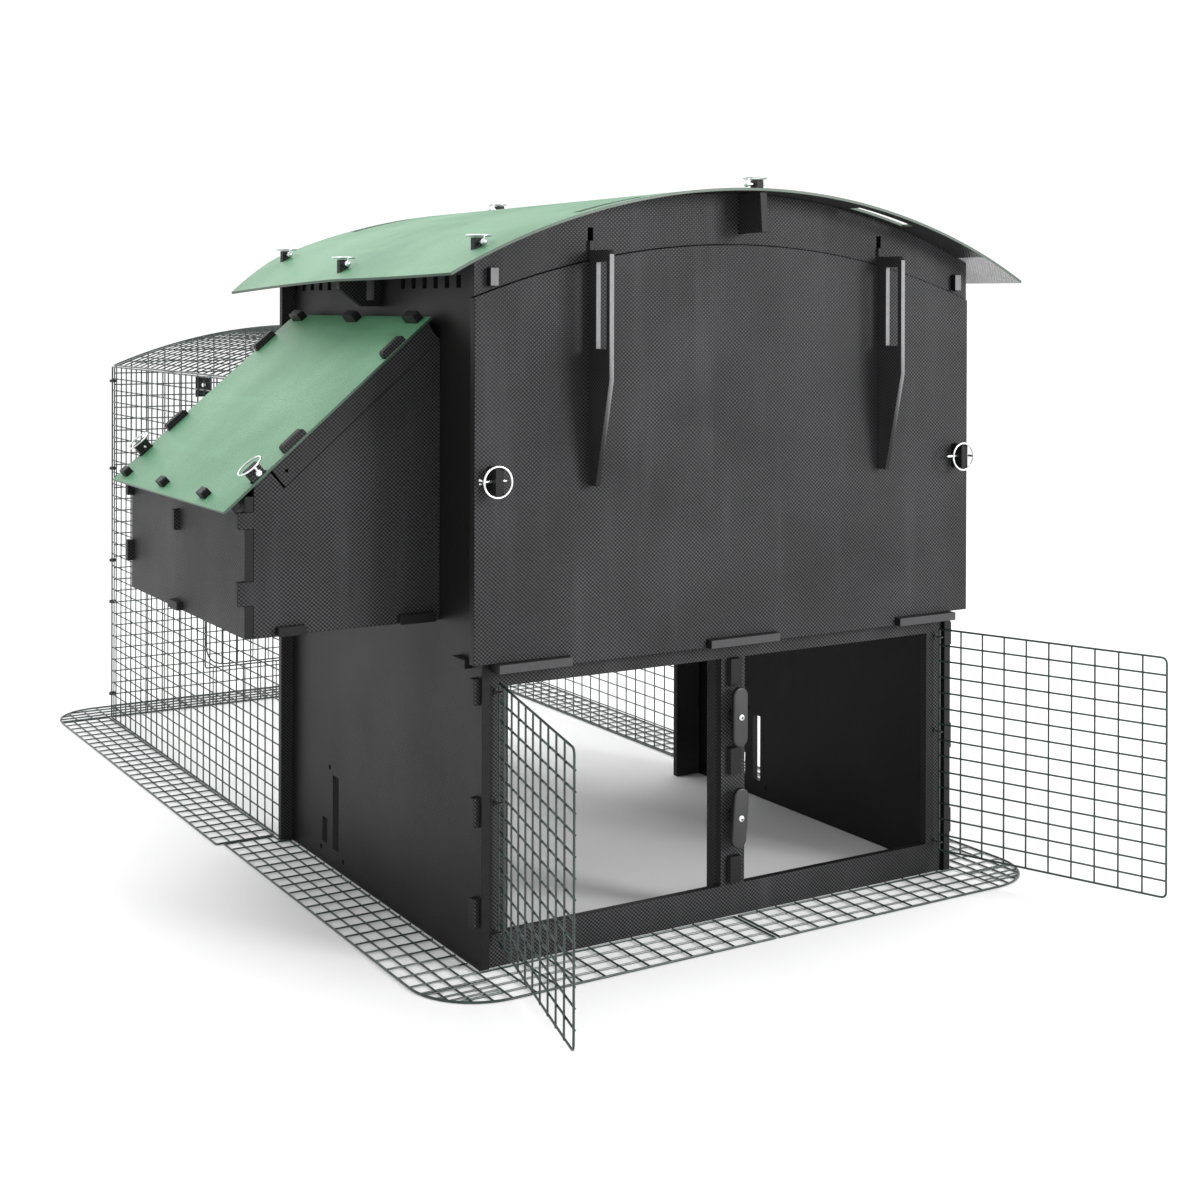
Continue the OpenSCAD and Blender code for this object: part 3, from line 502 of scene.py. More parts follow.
class Finishes:
    """Every finish of the coop, built once and shared."""

    def __init__(self) -> None:
        """Build the materials."""
        self.boards = {face: BoardFinish(f"charcoal_board_{face.name.lower()}", face, **CHARCOAL).material()
                       for face in Face}
        # The wall, handle and floor boards get a painted highlight on their sawn faces that face the front.
        self.wall = BoardFinish("smoke_wall", Face.ALONG, emboss=0.00012, wear=0.25, rough=0.40, shine=0.14,
                                front_highlight=(0.17, 0.17, 0.175), front_highlight_above=0.9, **SMOKE).material()
        self.handle = BoardFinish("handle_board", Face.ALONG, wear=0.2, front_highlight=(0.22, 0.22, 0.225),
                                  **CHARCOAL).material()
        self.floor = BoardFinish("floor_board", Face.LEVEL, wear=0.6, front_highlight=(0.055, 0.055, 0.057),
                                 **CHARCOAL).material()
        self.lid = BoardFinish("green_lid", Face.LID, rough=0.44, shine=0.6, wear=0.15, **MINT).material()
        self.roof = RoofFinish("green_roof", Face.LEVEL, rough=0.44, shine=0.6, wear=0.15, **MINT).material()
        self.wire = WireFinish().material()
        self.pin = SteelFinish("bright_pin").material()
        self.screw = SteelFinish("plated_screw", rough=0.24).material()
        self.black_steel = FittingFinish("black_steel", rough=0.34).material()
        self.fitting = FittingFinish("moulded_fitting").material()
        self.wood = WoodFinish().material()


# --------------------------------------------------------------------------- mesh helpers


@dataclass
class Piece:
    """Gathers the vertices and faces of one piece."""

    name: str
    verts: list[Vector] = field(default_factory=list)
    faces: list[tuple[int, ...]] = field(default_factory=list)

    def rings(self, rings: Sequence[Sequence[Vector]], closed: bool = False) -> None:
        """Join rings of equal length into a skin, with caps unless it closes on itself.

        Args:
            rings: The rings in order.
            closed: Whether the last ring joins the first.
        """
        start, size = len(self.verts), len(rings[0])
        for ring in rings:
            self.verts.extend(ring)
        count = len(rings)
        for i in range(count if closed else count - 1):
            a, b = start + i * size, start + ((i + 1) % count) * size
            for k in range(size):
                m = (k + 1) % size
                self.faces.append((a + k, a + m, b + m, b + k))
        if not closed:
            self.faces.append(tuple(range(start + size - 1, start - 1, -1)))
            self.faces.append(tuple(range(start + (count - 1) * size, start + count * size)))

    def wire(self, path: Path, radius: float, sides: int = 8, closed: bool = False) -> None:
        """Add a round wire along a path.

        Args:
            path: Its centreline.
            radius: Its radius in metres.
            sides: Corners of its section.
            closed: Whether it is a loop.
        """
        points = [Vector(p) for p in path]
        sizes = [radius] * len(points)
        if not closed:
            first = (points[1] - points[0]).normalized() * radius * 0.4
            last = (points[-1] - points[-2]).normalized() * radius * 0.4
            points = [points[0], points[0] + first, *points[1:-1], points[-1] - last, points[-1]]
            sizes = [radius * 0.6, radius, *sizes[1:-1], radius, radius * 0.6]
        count = len(points)
        legs = count if closed else count - 1
        steps = [(points[(i + 1) % count] - points[i]).normalized() for i in range(legs)]
        rings, side = [], steps[0].orthogonal().normalized()
        for i, point in enumerate(points):
            before = steps[i - 1] if (closed or i) else steps[0]
            after = steps[i] if (closed or i < count - 1) else steps[-1]
            along = (before + after).normalized()
            side = (side - along * side.dot(along)).normalized()
            other = along.cross(side)
            rings.append([point + (side * math.cos(t) + other * math.sin(t)) * sizes[i]
                          for t in (2 * math.pi * k / sides for k in range(sides))])
        self.rings(rings, closed)

    def turned(self, profile: Profile, at: Vector, axis: Vector, sides: int = 28) -> None:
        """Add a turned solid.

        Args:
            profile: (distance along the axis, radius) from one end to the other.
            at: Where the axis starts.
            axis: Its direction.
            sides: Corners of its section.
        """
        axis = axis.normalized()
        side = axis.orthogonal().normalized()
        other = axis.cross(side)
        self.rings([[at + axis * d + (side * math.cos(t) + other * math.sin(t)) * r
                     for t in (2 * math.pi * k / sides for k in range(sides))] for d, r in profile])

    def moved(self, matrix: Matrix) -> None:
        """Move everything gathered so far."""
        self.verts = [matrix @ v for v in self.verts]

    def take(self, other: "Piece") -> None:
        """Add everything that another piece has gathered.

        Args:
            other: The other piece.
        """
        base = len(self.verts)
        self.verts.extend(other.verts)
        self.faces.extend(tuple(base + i for i in face) for face in other.faces)

    def build(self, material: Material, body: str, replaced: Sequence[str] = (), slot: str = "",
              sharp: float = 40.0) -> Thing:
        """Make the object.

        Args:
            material: Its finish.
            body: The body that it moves with.
            replaced: The plain nodes that it stands for.
            slot: The record's material slot; not used.
            sharp: Edges turning more than this many degrees stay sharp.

        Returns:
            The new object.
        """
        mesh = bpy.data.meshes.new(self.name)
        mesh.from_pydata([tuple(v) for v in self.verts], [], self.faces)
        mesh.validate()
        work = bmesh.new()
        work.from_mesh(mesh)
        bmesh.ops.recalc_face_normals(work, faces=work.faces)
        for edge in work.edges:
            edge.smooth = len(edge.link_faces) == 2 and edge.calc_face_angle() < math.radians(sharp)
        for face in work.faces:
            face.smooth = True
        work.to_mesh(mesh)
        work.free()
        obj = bpy.data.objects.new(self.name, mesh)
        bpy.context.scene.collection.objects.link(obj)
        mesh.materials.append(material)
        return settle(obj, body, replaced)


def settle(obj: Thing, body: str, replaced: Sequence[str] = ()) -> Thing:
    """Fix a piece to its body.

    Args:
        obj: The piece.
        body: The body that it moves with.
        replaced: The plain nodes that it stands for.

    Returns:
        The piece.
    """
    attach(obj, body)
    if replaced:
        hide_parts(*replaced)
    return obj


def dress(node: str, material: Material, edge: float = EDGE_WIDTH) -> Thing:
    """Give a plain node its finish and soften its edges.

    Args:
        node: The node's name.
        material: Its finish.
        edge: Width of the softened edges in metres, 0 for none.

    Returns:
        The dressed node.
    """
    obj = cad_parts[node]
    obj.data.materials.clear()
    obj.data.materials.append(material)
    if edge:
        weld = obj.modifiers.new("join", "WELD")
        weld.merge_threshold = MERGE_GAP
        bevel = obj.modifiers.new("soften", "BEVEL")
        bevel.width, bevel.segments, bevel.limit_method = edge, 2, "ANGLE"
        bevel.angle_limit = math.radians(EDGE_ANGLE)
        obj.modifiers.new("flatten", "WEIGHTED_NORMAL").weight = FLAT_WEIGHT
    return obj


def arc(centre: Vector, radius: float, start: float, end: float, u: Vector, v: Vector,
        steps: int) -> list[Vector]:
    """Return points along an arc.

    Args:
        centre: Its centre.
        radius: Its radius.
        start: First angle in degrees, from u towards v.
        end: Last angle.
        u: First in-plane direction.
        v: Second in-plane direction.
        steps: Number of segments.

    Returns:
        The points.
    """
    turns = (math.radians(start + (end - start) * k / steps) for k in range(steps + 1))
    return [centre + (u * math.cos(t) + v * math.sin(t)) * radius for t in turns]


def rounded_loop(corners: Sequence[Vector], radii: Sequence[float], steps: int = 6) -> list[Vector]:
    """Round the corners of a closed outline.

    Args:
        corners: Its corners in order.
        radii: A radius for each corner.
        steps: Segments in each corner.

    Returns:
        The points of the rounded loop.
    """
    points: list[Vector] = []
    for i, (corner, radius) in enumerate(zip(corners, radii)):
        back = (corners[i - 1] - corner).normalized()
        on = (corners[(i + 1) % len(corners)] - corner).normalized()
        start, end = corner + back * radius, corner + on * radius
        for k in range(steps + 1):
            t = k / steps
            points.append(start * (1 - t) ** 2 + corner * 2 * t * (1 - t) + end * t * t)
    return points


def spread(low: float, high: float, pitch: float) -> list[float]:
    """Space values evenly.

    Args:
        low: First value.
        high: Last value.
        pitch: About how far apart they are.

    Returns:
        The values, both ends included.
    """
    count = max(1, round((high - low) / pitch))
    return [low + (high - low) * k / count for k in range(count + 1)]


# --------------------------------------------------------------------------- the coop's parts


@dataclass
class Linchpin:
    """Ring linchpin: shaft with a knob at -x and a sprung ring standing off along -y."""

    length: float = 0.036
    stand: float = 0.009         # how far the ring stands off the shaft
    ring: float = 0.0165         # radius of the ring
    shaft: float = 0.0025
    spring: float = 0.0013       # radius of the ring's wire
    knob: float = 0.0035         # how far the knob stands past the shaft
    seat: float = 0.0012         # how deep the ring's stub sits in the knob

    def add_to(self, piece: Piece, matrix: Matrix) -> None:
        """Add one pin to a piece.

        Args:
            piece: Where its mesh goes.
            matrix: From the pin's own frame to the coop's.
        """
        own = Piece("pin")
        end, knob = self.length / 2, self.length / 2 + self.knob
        tip = min(end, 2 * self.ring - knob + 0.0015)
        own.turned([(0, 0.0026), (0.0008, 0.0040), (0.0016, 0.0045), (0.0036, 0.0045), (0.0044, 0.0041),
                    (0.0050, self.shaft)], Vector((-knob, 0, 0)), X)
        reach = tip + end
        own.turned([(0, self.shaft), (reach - 0.006, self.shaft), (reach - 0.002, self.shaft * 0.72),
                    (reach, self.shaft * 0.4)], Vector((-end, 0, 0)), X, 20)
        stub = self.seat - knob
        hub = Vector((self.ring + stub, -self.stand, 0))
        own.wire(arc(hub, self.ring, 0, 355, X, Z, 71), self.spring, RIM_SIDES, closed=True)
        own.wire([Vector((stub, 0.002, 0)), Vector((stub, -self.stand, 0))], self.spring * 1.15)
        own.moved(matrix)
        piece.take(own)


@dataclass
class BoardHouse:
    """The fixed boards of the house."""

    finishes: Finishes
    across: tuple[str, ...] = ("front_board", "rear_wall", "front_gable", "eave_bracket_left",
                               "eave_bracket_right", "nest_divider", "pop_door")
    level: tuple[str, ...] = ("nest_floor", "ramp", "ramp_brackets")
    along: tuple[str, ...] = ("ridge_board", "nest_outer_wall", "post_beam", "pop_door_guides")

    def build(self) -> list[Thing]:
        """Dress every board.

        Returns:
            The boards and the perches.
        """
        lies = ((self.across, Face.ACROSS), (self.level, Face.LEVEL), (self.along, Face.ALONG))
        boards = [dress(name, self.finishes.boards[face]) for names, face in lies for name in names]
        boards.append(dress("house_floor", self.finishes.floor))
        boards += [dress(name, self.finishes.wall, 0.0) for name in ("left_wall", "right_wall")]
        boards += [dress(name, self.finishes.wood, PERCH_EDGE) for name in ("perch_front", "perch_rear")]
        return boards


@dataclass
class ArchedRoof:
    """The arched green sheet with its slots, slight waves and ring linchpins."""

    finishes: Finishes
    radius: float = 1.064
    crest: float = 1.067
    thick: float = 0.004
    reach: float = 0.504
    front: float = -0.083
    rear: float = 0.742
    edge_pins: float = 0.432                              # x of the gable's and rear board's pins
    edge_rows: tuple[float, float] = (-0.019, 0.6785)
    bracket_pins: float = 0.480
    bracket_row: float = 0.323
    crest_rows: tuple[float, float] = (-0.061, 0.727)     # y of the ridge board's pins
    pin_height: float = 0.0065
    crest_slot: tuple[float, float] = (0.0065, 0.0085)    # half sizes
    edge_slot: tuple[float, float] = (0.0075, 0.0065)
    hand_slot: tuple[float, float] = (0.053, 0.012)
    hand_x: float = 0.244
    hand_rows: tuple[float, float] = (-0.051, 0.710)
    loose_from: float = 0.42                              # the sheet hangs free outside the walls

    def z(self, x: float) -> float:
        """Return the height of the roof's upper face at x."""
        return self.crest - self.radius + math.sqrt(self.radius ** 2 - x * x)

    def side_pins(self, side: int) -> list[tuple[float, float]]:
        """Return (x, y) of the three pins on one side, -1 for the left and 1 for the right."""
        return [(side * x, y) for x, y in (*((self.edge_pins, row) for row in self.edge_rows),
                                           (self.bracket_pins, self.bracket_row))]

    def pin_places(self) -> list[tuple[float, float, float]]:
        """Place the roof's pins.

        Returns:
            (x, y, turn in degrees) of every pin.
        """
        places = [(0.0, row, 0.0) for row in self.crest_rows]
        return places + [(x, y, 90.0) for side in (-1, 1) for x, y in self.side_pins(side)]

    def slots(self) -> list[tuple[float, float, float, float]]:
        """Place the slots through the sheet.

        Returns:
            (x0, x1, y0, y1) of every slot.
        """
        places = [(0.0, row, self.crest_slot) for row in self.crest_rows]
        for side in (-1, 1):
            places += [(side * self.hand_x, row, self.hand_slot) for row in self.hand_rows]
            places += [(x, y, self.edge_slot) for x, y in self.side_pins(side)]
        return [(x - half[0], x + half[0], y - half[1], y + half[1]) for x, y, half in places]

    def droop(self, x: float, y: float) -> float:
        """Let the sheet's free edges hang, more towards the back on the left.

        Args:
            x: Place across the roof.
            y: Place along it.

        Returns:
            How far the sheet lies below its true arch there.
        """
        out = max(0.0, (abs(x) - self.loose_from) / (self.reach - self.loose_from)) ** 1.5
        back = (y - self.front) / (self.rear - self.front)
        hang = 0.009 * back + 0.022 * max(0.0, back - 0.47) if x < 0 else 0.003 * back * back
        wave = 0.0012 * math.sin(7.0 * y + (1.0 if x < 0 else 2.6))
        return out * (hang + wave)

    def sheet(self) -> Thing:
        """Build the sheet as a grid with its slots left open.

        Returns:
            The sheet.
        """
        xs, ys = {-self.reach, self.reach}, {self.front, self.rear}
        for x0, x1, y0, y1 in self.slots():
            xs |= {x0, x1}
            ys |= {y0, y1}
        xs = self.fill(sorted(xs), 0.018)
        ys = self.fill(sorted(ys), 0.030)
        piece = Piece("roof_sheet_embossed")
        for layer in (0.0, -self.thick):
            for x in xs:
                lean = x / self.radius
                rise = layer * math.cos(math.asin(lean))
                for y in ys:
                    piece.verts.append(Vector((x + layer * lean, y, self.z(x) + rise - self.droop(x, y))))
        wide, deep = len(xs) - 1, len(ys) - 1
        solid = {(i, j) for i in range(wide) for j in range(deep) if not self.open(xs[i:i + 2], ys[j:j + 2])}
        layer = len(xs) * len(ys)

        def at(i: int, j: int, low: int) -> int:
            """Return the vertex at a grid corner, low 0 above and 1 below."""
            return low * layer + i * len(ys) + j

        for i, j in solid:
            piece.faces.append((at(i, j, 0), at(i + 1, j, 0), at(i + 1, j + 1, 0), at(i, j + 1, 0)))
            piece.faces.append((at(i, j, 1), at(i, j + 1, 1), at(i + 1, j + 1, 1), at(i + 1, j, 1)))
            for di, dj, a, b in ((-1, 0, (i, j), (i, j + 1)), (1, 0, (i + 1, j), (i + 1, j + 1)),
                                 (0, -1, (i, j), (i + 1, j)), (0, 1, (i, j + 1), (i + 1, j + 1))):
                if (i + di, j + dj) not in solid:
                    piece.faces.append((at(*a, 0), at(*b, 0), at(*b, 1), at(*a, 1)))
        obj = piece.build(self.finishes.roof, "coop", ["roof_sheet"], "green_board")
        drop_loose(obj)
        return obj

    @staticmethod
    def fill(breaks: list[float], gap: float) -> list[float]:
        """Add values where neighbours are far apart.

        Args:
            breaks: The values that have to stay, in order.
            gap: How far apart neighbours may be.

        Returns:
            The fuller list.
        """
        values = [breaks[0]]
        for low, high in zip(breaks, breaks[1:]):
            if high - low < 1e-6:
                continue
            count = max(1, math.ceil((high - low) / gap))
            values += [low + (high - low) * k / count for k in range(1, count + 1)]
        return values

    def open(self, x: Sequence[float], y: Sequence[float]) -> bool:
        """Tell whether a grid cell, from x[0] to x[1] and y[0] to y[1], lies in a slot."""
        mx, my = sum(x) / 2, sum(y) / 2
        return any(x0 < mx < x1 and y0 < my < y1 for x0, x1, y0, y1 in self.slots())

    def pins(self) -> Thing:
        """Build the roof's linchpins as one piece.

        Returns:
            The pins.
        """
        piece, pin = Piece("roof_ring_pins"), Linchpin()
        for x, y, turn in self.pin_places():
            place = Matrix.Translation((x, y, self.z(x) + self.pin_height))
            pin.add_to(piece, place @ Matrix.Rotation(math.radians(turn), 4, "Z")
                       @ Matrix.Rotation(math.radians(-90), 4, "X"))
        return piece.build(self.finishes.pin, "coop", ["roof_linchpins"], "pin_steel")

    def build(self) -> list[Thing]:
        """Build the roof's sheet and its pins."""
        return [self.sheet(), self.pins()]


def drop_loose(obj: Thing) -> None:
    """Remove vertices that no face uses.

    Args:
        obj: The object.
    """
    work = bmesh.new()
    work.from_mesh(obj.data)
    bmesh.ops.delete(work, geom=[v for v in work.verts if not v.link_faces], context="VERTS")
    work.to_mesh(obj.data)
    work.free()


@dataclass
class LiftOffFront:
    """The removable front panel, its handles and its two ring linchpins."""

    finishes: Finishes
    pin_x: float = 0.414
    pin_y: float = -0.040
    pin_z: float = 0.663
    right_in: float = 0.011      # the right pin sits this much further in
    pin: Linchpin = field(default_factory=lambda: Linchpin(0.046, 0.0150, 0.0208, 0.0022, 0.0016))

    def build(self) -> list[Thing]:
        """Dress the panel and its handles, and build its pins.

        Returns:
            The panel, the handles and the pins.
        """
        made = [dress("front_panel", self.finishes.boards[Face.ACROSS])]
        made += [dress(name, self.finishes.handle) for name in ("panel_handle_left", "panel_handle_right")]
        for name, x, turn in (("panel_pin_left", -self.pin_x, 0.0),
                              ("panel_pin_right", self.pin_x - self.right_in, math.pi)):
            piece = Piece(f"{name}_ring")
            place = Matrix.Translation((x, self.pin_y, self.pin_z)) @ Matrix.Rotation(turn, 4, "Y")
            self.pin.add_to(piece, place)
            made.append(piece.build(self.finishes.pin, name, [name], "pin_steel"))
        return made


@dataclass
class NestBox:
    """The nest box's sides, its sloping lid and the lid's pins."""

    finishes: Finishes
    hinge_x: float = -0.436
    top: float = 0.882
    pin_u: float = 0.329         # down the lid from its hinge
    pin_height: float = 0.009    # above the lid
    near: float = 0.121
    far: float = 0.618
    pin: Linchpin = field(default_factory=lambda: Linchpin(0.036, 0.011, 0.0185))

    def build(self) -> list[Thing]:
        """Dress the boards and build the pins.

        Returns:
            The nest's sides, the lid with its cheeks, hooks and batten, and the pins.
        """
        across, lid = self.finishes.boards[Face.ACROSS], self.finishes.boards[Face.LID]
        made = [dress(name, across) for name in ("nest_side_front", "nest_side_rear")]
        made += [dress(name, across, SOFT_EDGE) for name in ("lid_cheek_front", "lid_cheek_rear")]
        made.append(dress("nest_lid", self.finishes.lid))
        made += [dress(name, lid, SOFT_EDGE) for name in ("lid_hooks", "lid_batten")]
        on_lid = (Matrix.Translation((self.hinge_x, 0, self.top))
                  @ Matrix.Rotation(math.radians(-LID_SLOPE), 4, "Y"))
        for name, body, y, turn in (("nest_pin_front", "lid_pin_front", self.near, 90.0),
                                    ("nest_pin_rear", "lid_pin_rear", self.far, -90.0)):
            piece = Piece(f"{name}_ring")
            place = on_lid @ Matrix.Translation((-self.pin_u, y, self.pin_height))
            self.pin.add_to(piece, place @ Matrix.Rotation(math.radians(turn), 4, "Z")
                            @ Matrix.Rotation(math.radians(-90), 4, "X"))
            made.append(piece.build(self.finishes.pin, body, [name], "pin_steel"))
        return made


@dataclass
class WireDoor:
    """One of the two front doors, drawn closed along +x from its hinge wire and then opened."""

    finishes: Finishes
    name: str
    hinge: tuple[float, float]
    turn: float
    mirrored: bool
    low: float = 0.037
    cols: int = 10
    rows: int = 14
    cell: tuple[float, float] = (0.0365, 0.025)
    thin: float = 0.00145
    thick: float = 0.0016
    corner: float = 0.009
    hinge_corner: float = 0.003
    past: float = 0.0012         # how far a wire's end runs on over the edge wire

    def build(self) -> list[Thing]:
        """Build the door's wires.

        Returns:
            The door.
        """
        piece = Piece(f"{self.name}_wires")
        wide, high = self.cols * self.cell[0], self.rows * self.cell[1]
        layer = self.thin * WIRE_LAP
        rim = [Vector((0, 0, 0)), Vector((wide, 0, 0)), Vector((wide, 0, high)), Vector((0, 0, high))]
        bends = [self.hinge_corner, self.corner, self.corner, self.hinge_corner]
        piece.wire(rounded_loop(rim, bends), self.thick, RIM_SIDES, closed=True)
        for i in range(1, self.cols):
            x = i * self.cell[0]
            piece.wire([Vector((x, -layer, -self.past)), Vector((x, -layer, high + self.past))], self.thin)
        for j in range(1, self.rows):
            z = j * self.cell[1]
            piece.wire([Vector((-0.001, layer, z)), Vector((wide + self.past, layer, z))], self.thin)
        place = Matrix.Translation((*self.hinge, self.low)) @ Matrix.Rotation(math.radians(self.turn), 4, "Z")
        piece.moved(place @ Matrix.Scale(-1, 4, X) if self.mirrored else place)
        return [piece.build(self.finishes.wire, self.name, [self.name], "coated_wire")]


@dataclass
class TurnButtons:
    """The two turn buttons on the centre post, with their cross-head screws."""

    finishes: Finishes
    front: float = -0.027
    thick: float = 0.008
    long: float = 0.088
    wide: float = 0.026
    soft: float = 0.0025         # rounding of the front edge
    upper: float = 0.296         # height of the upper screw
    lower: float = 0.148
    lower_lean: float = 4.0
    cross_turns: tuple[float, float] = (20.0, 62.0)
    head: float = 0.0040         # radius of a screw's crown
    crown: float = 0.0022        # how far the crown starts from the head's seat

    def pill(self, inset: float, y: float) -> list[Vector]:
        """Outline the button.

        Args:
            inset: How far inside the full outline.
            y: The depth it lies at.

        Returns:
            The outline's points.
        """
        radius, half = self.wide / 2 - inset, (self.long - self.wide) / 2
        return (arc(Vector((0, y, half)), radius, 0, 180, X, Z, 14)
                + arc(Vector((0, y, -half)), radius, 180, 360, X, Z, 14))

    def button(self, body: str, node: str, z: float, lean: float) -> Thing:
        """Build one button.

        Args:
            body: The body that it turns with.
            node: The plain node that it stands for.
            z: Height of its screw.
            lean: How far it leans over, in degrees.

        Returns:
            The button.
        """
        piece = Piece(f"{node}_moulded")
        rings = []
        for k in range(5):
            t = math.radians(90 * k / 4)
            rings.append(self.pill(self.soft * (1 - math.sin(t)), self.front + self.soft * (1 - math.cos(t))))
        rings += [self.pill(0, self.front + self.thick - 0.001), self.pill(0.001, self.front + self.thick)]
        piece.rings(rings)
        piece.turned([(0, 0.0085), (0.0005, 0.009), (0.0125, 0.009)],
                     Vector((0, self.front + self.thick - 0.0005, 0)), Y)
        piece.moved(Matrix.Translation((0, 0, z)) @ Matrix.Rotation(math.radians(lean), 4, "Y"))
        return piece.build(self.finishes.fitting, body, [node], "black_fitting", 50)

    def screws(self) -> Thing:
        """Build both screws, with a cross recess sunk in each pan head.

        Returns:
            The screws, as one piece.
        """
        piece = Piece("button_cross_screws")
        for z, turn in zip((self.upper, self.lower), self.cross_turns):
            own, seat = Piece("screw"), Vector((0, 0, 0))
            own.turned([(0, 0.0046), (0.0004, 0.0049), (0.0012, 0.0048), (self.crown, self.head)],
                       seat, -Y, 32)
            own.turned([(0, 0.0025), (0.021, 0.0025)], seat, Y, 16)
            self.cross_head(own, self.crown, self.head, math.radians(turn))
            own.moved(Matrix.Translation((0, self.front - 0.0002, z)))
            piece.take(own)
        return piece.build(self.finishes.screw, "coop", ["turn_button_screws"], "screw_steel", 30)

    @staticmethod
    def cross_head(piece: Piece, rise: float, radius: float, turn: float) -> None:
        """Add the domed crown of a screw with a cross-shaped recess.

        Args:
            piece: Where it goes.
            rise: How far the crown starts from the head's seat.
            radius: Radius of the crown.
            turn: Angle of the cross.
        """
        arm, half = radius * 0.66, radius * 0.17
        cross = []
        for k in range(4):
            t = turn + k * math.pi / 2
            out, side = Vector((math.cos(t), 0, math.sin(t))), Vector((-math.sin(t), 0, math.cos(t)))
            cross += [out * arm - side * half, out * arm + side * half, (out + side) * half]
        angles = [math.atan2(p.z, p.x) for p in cross]
        rim = [Vector((math.cos(a), 0, math.sin(a))) * radius for a in angles]
        crown = [p + Vector((0, -rise - 0.0008, 0)) for p in cross]
        floor = [p * 0.62 + Vector((0, -rise + 0.0013, 0)) for p in cross]
        piece.rings([[p + Vector((0, -rise, 0)) for p in rim], crown, floor])

    def build(self) -> list[Thing]:
        """Build the buttons and the screws, and dress the doors' screw eyes.

        Returns:
            The buttons, the screws and the eyes.
        """
        made = [self.button("upper_button", "turn_button_upper", self.upper, 0.0),
                self.button("lower_button", "turn_button_lower", self.lower, self.lower_lean), self.screws()]
        made += [dress(name, self.finishes.black_steel, 0.0) for name in ("left_door_eyes", "right_door_eyes")]
        return made


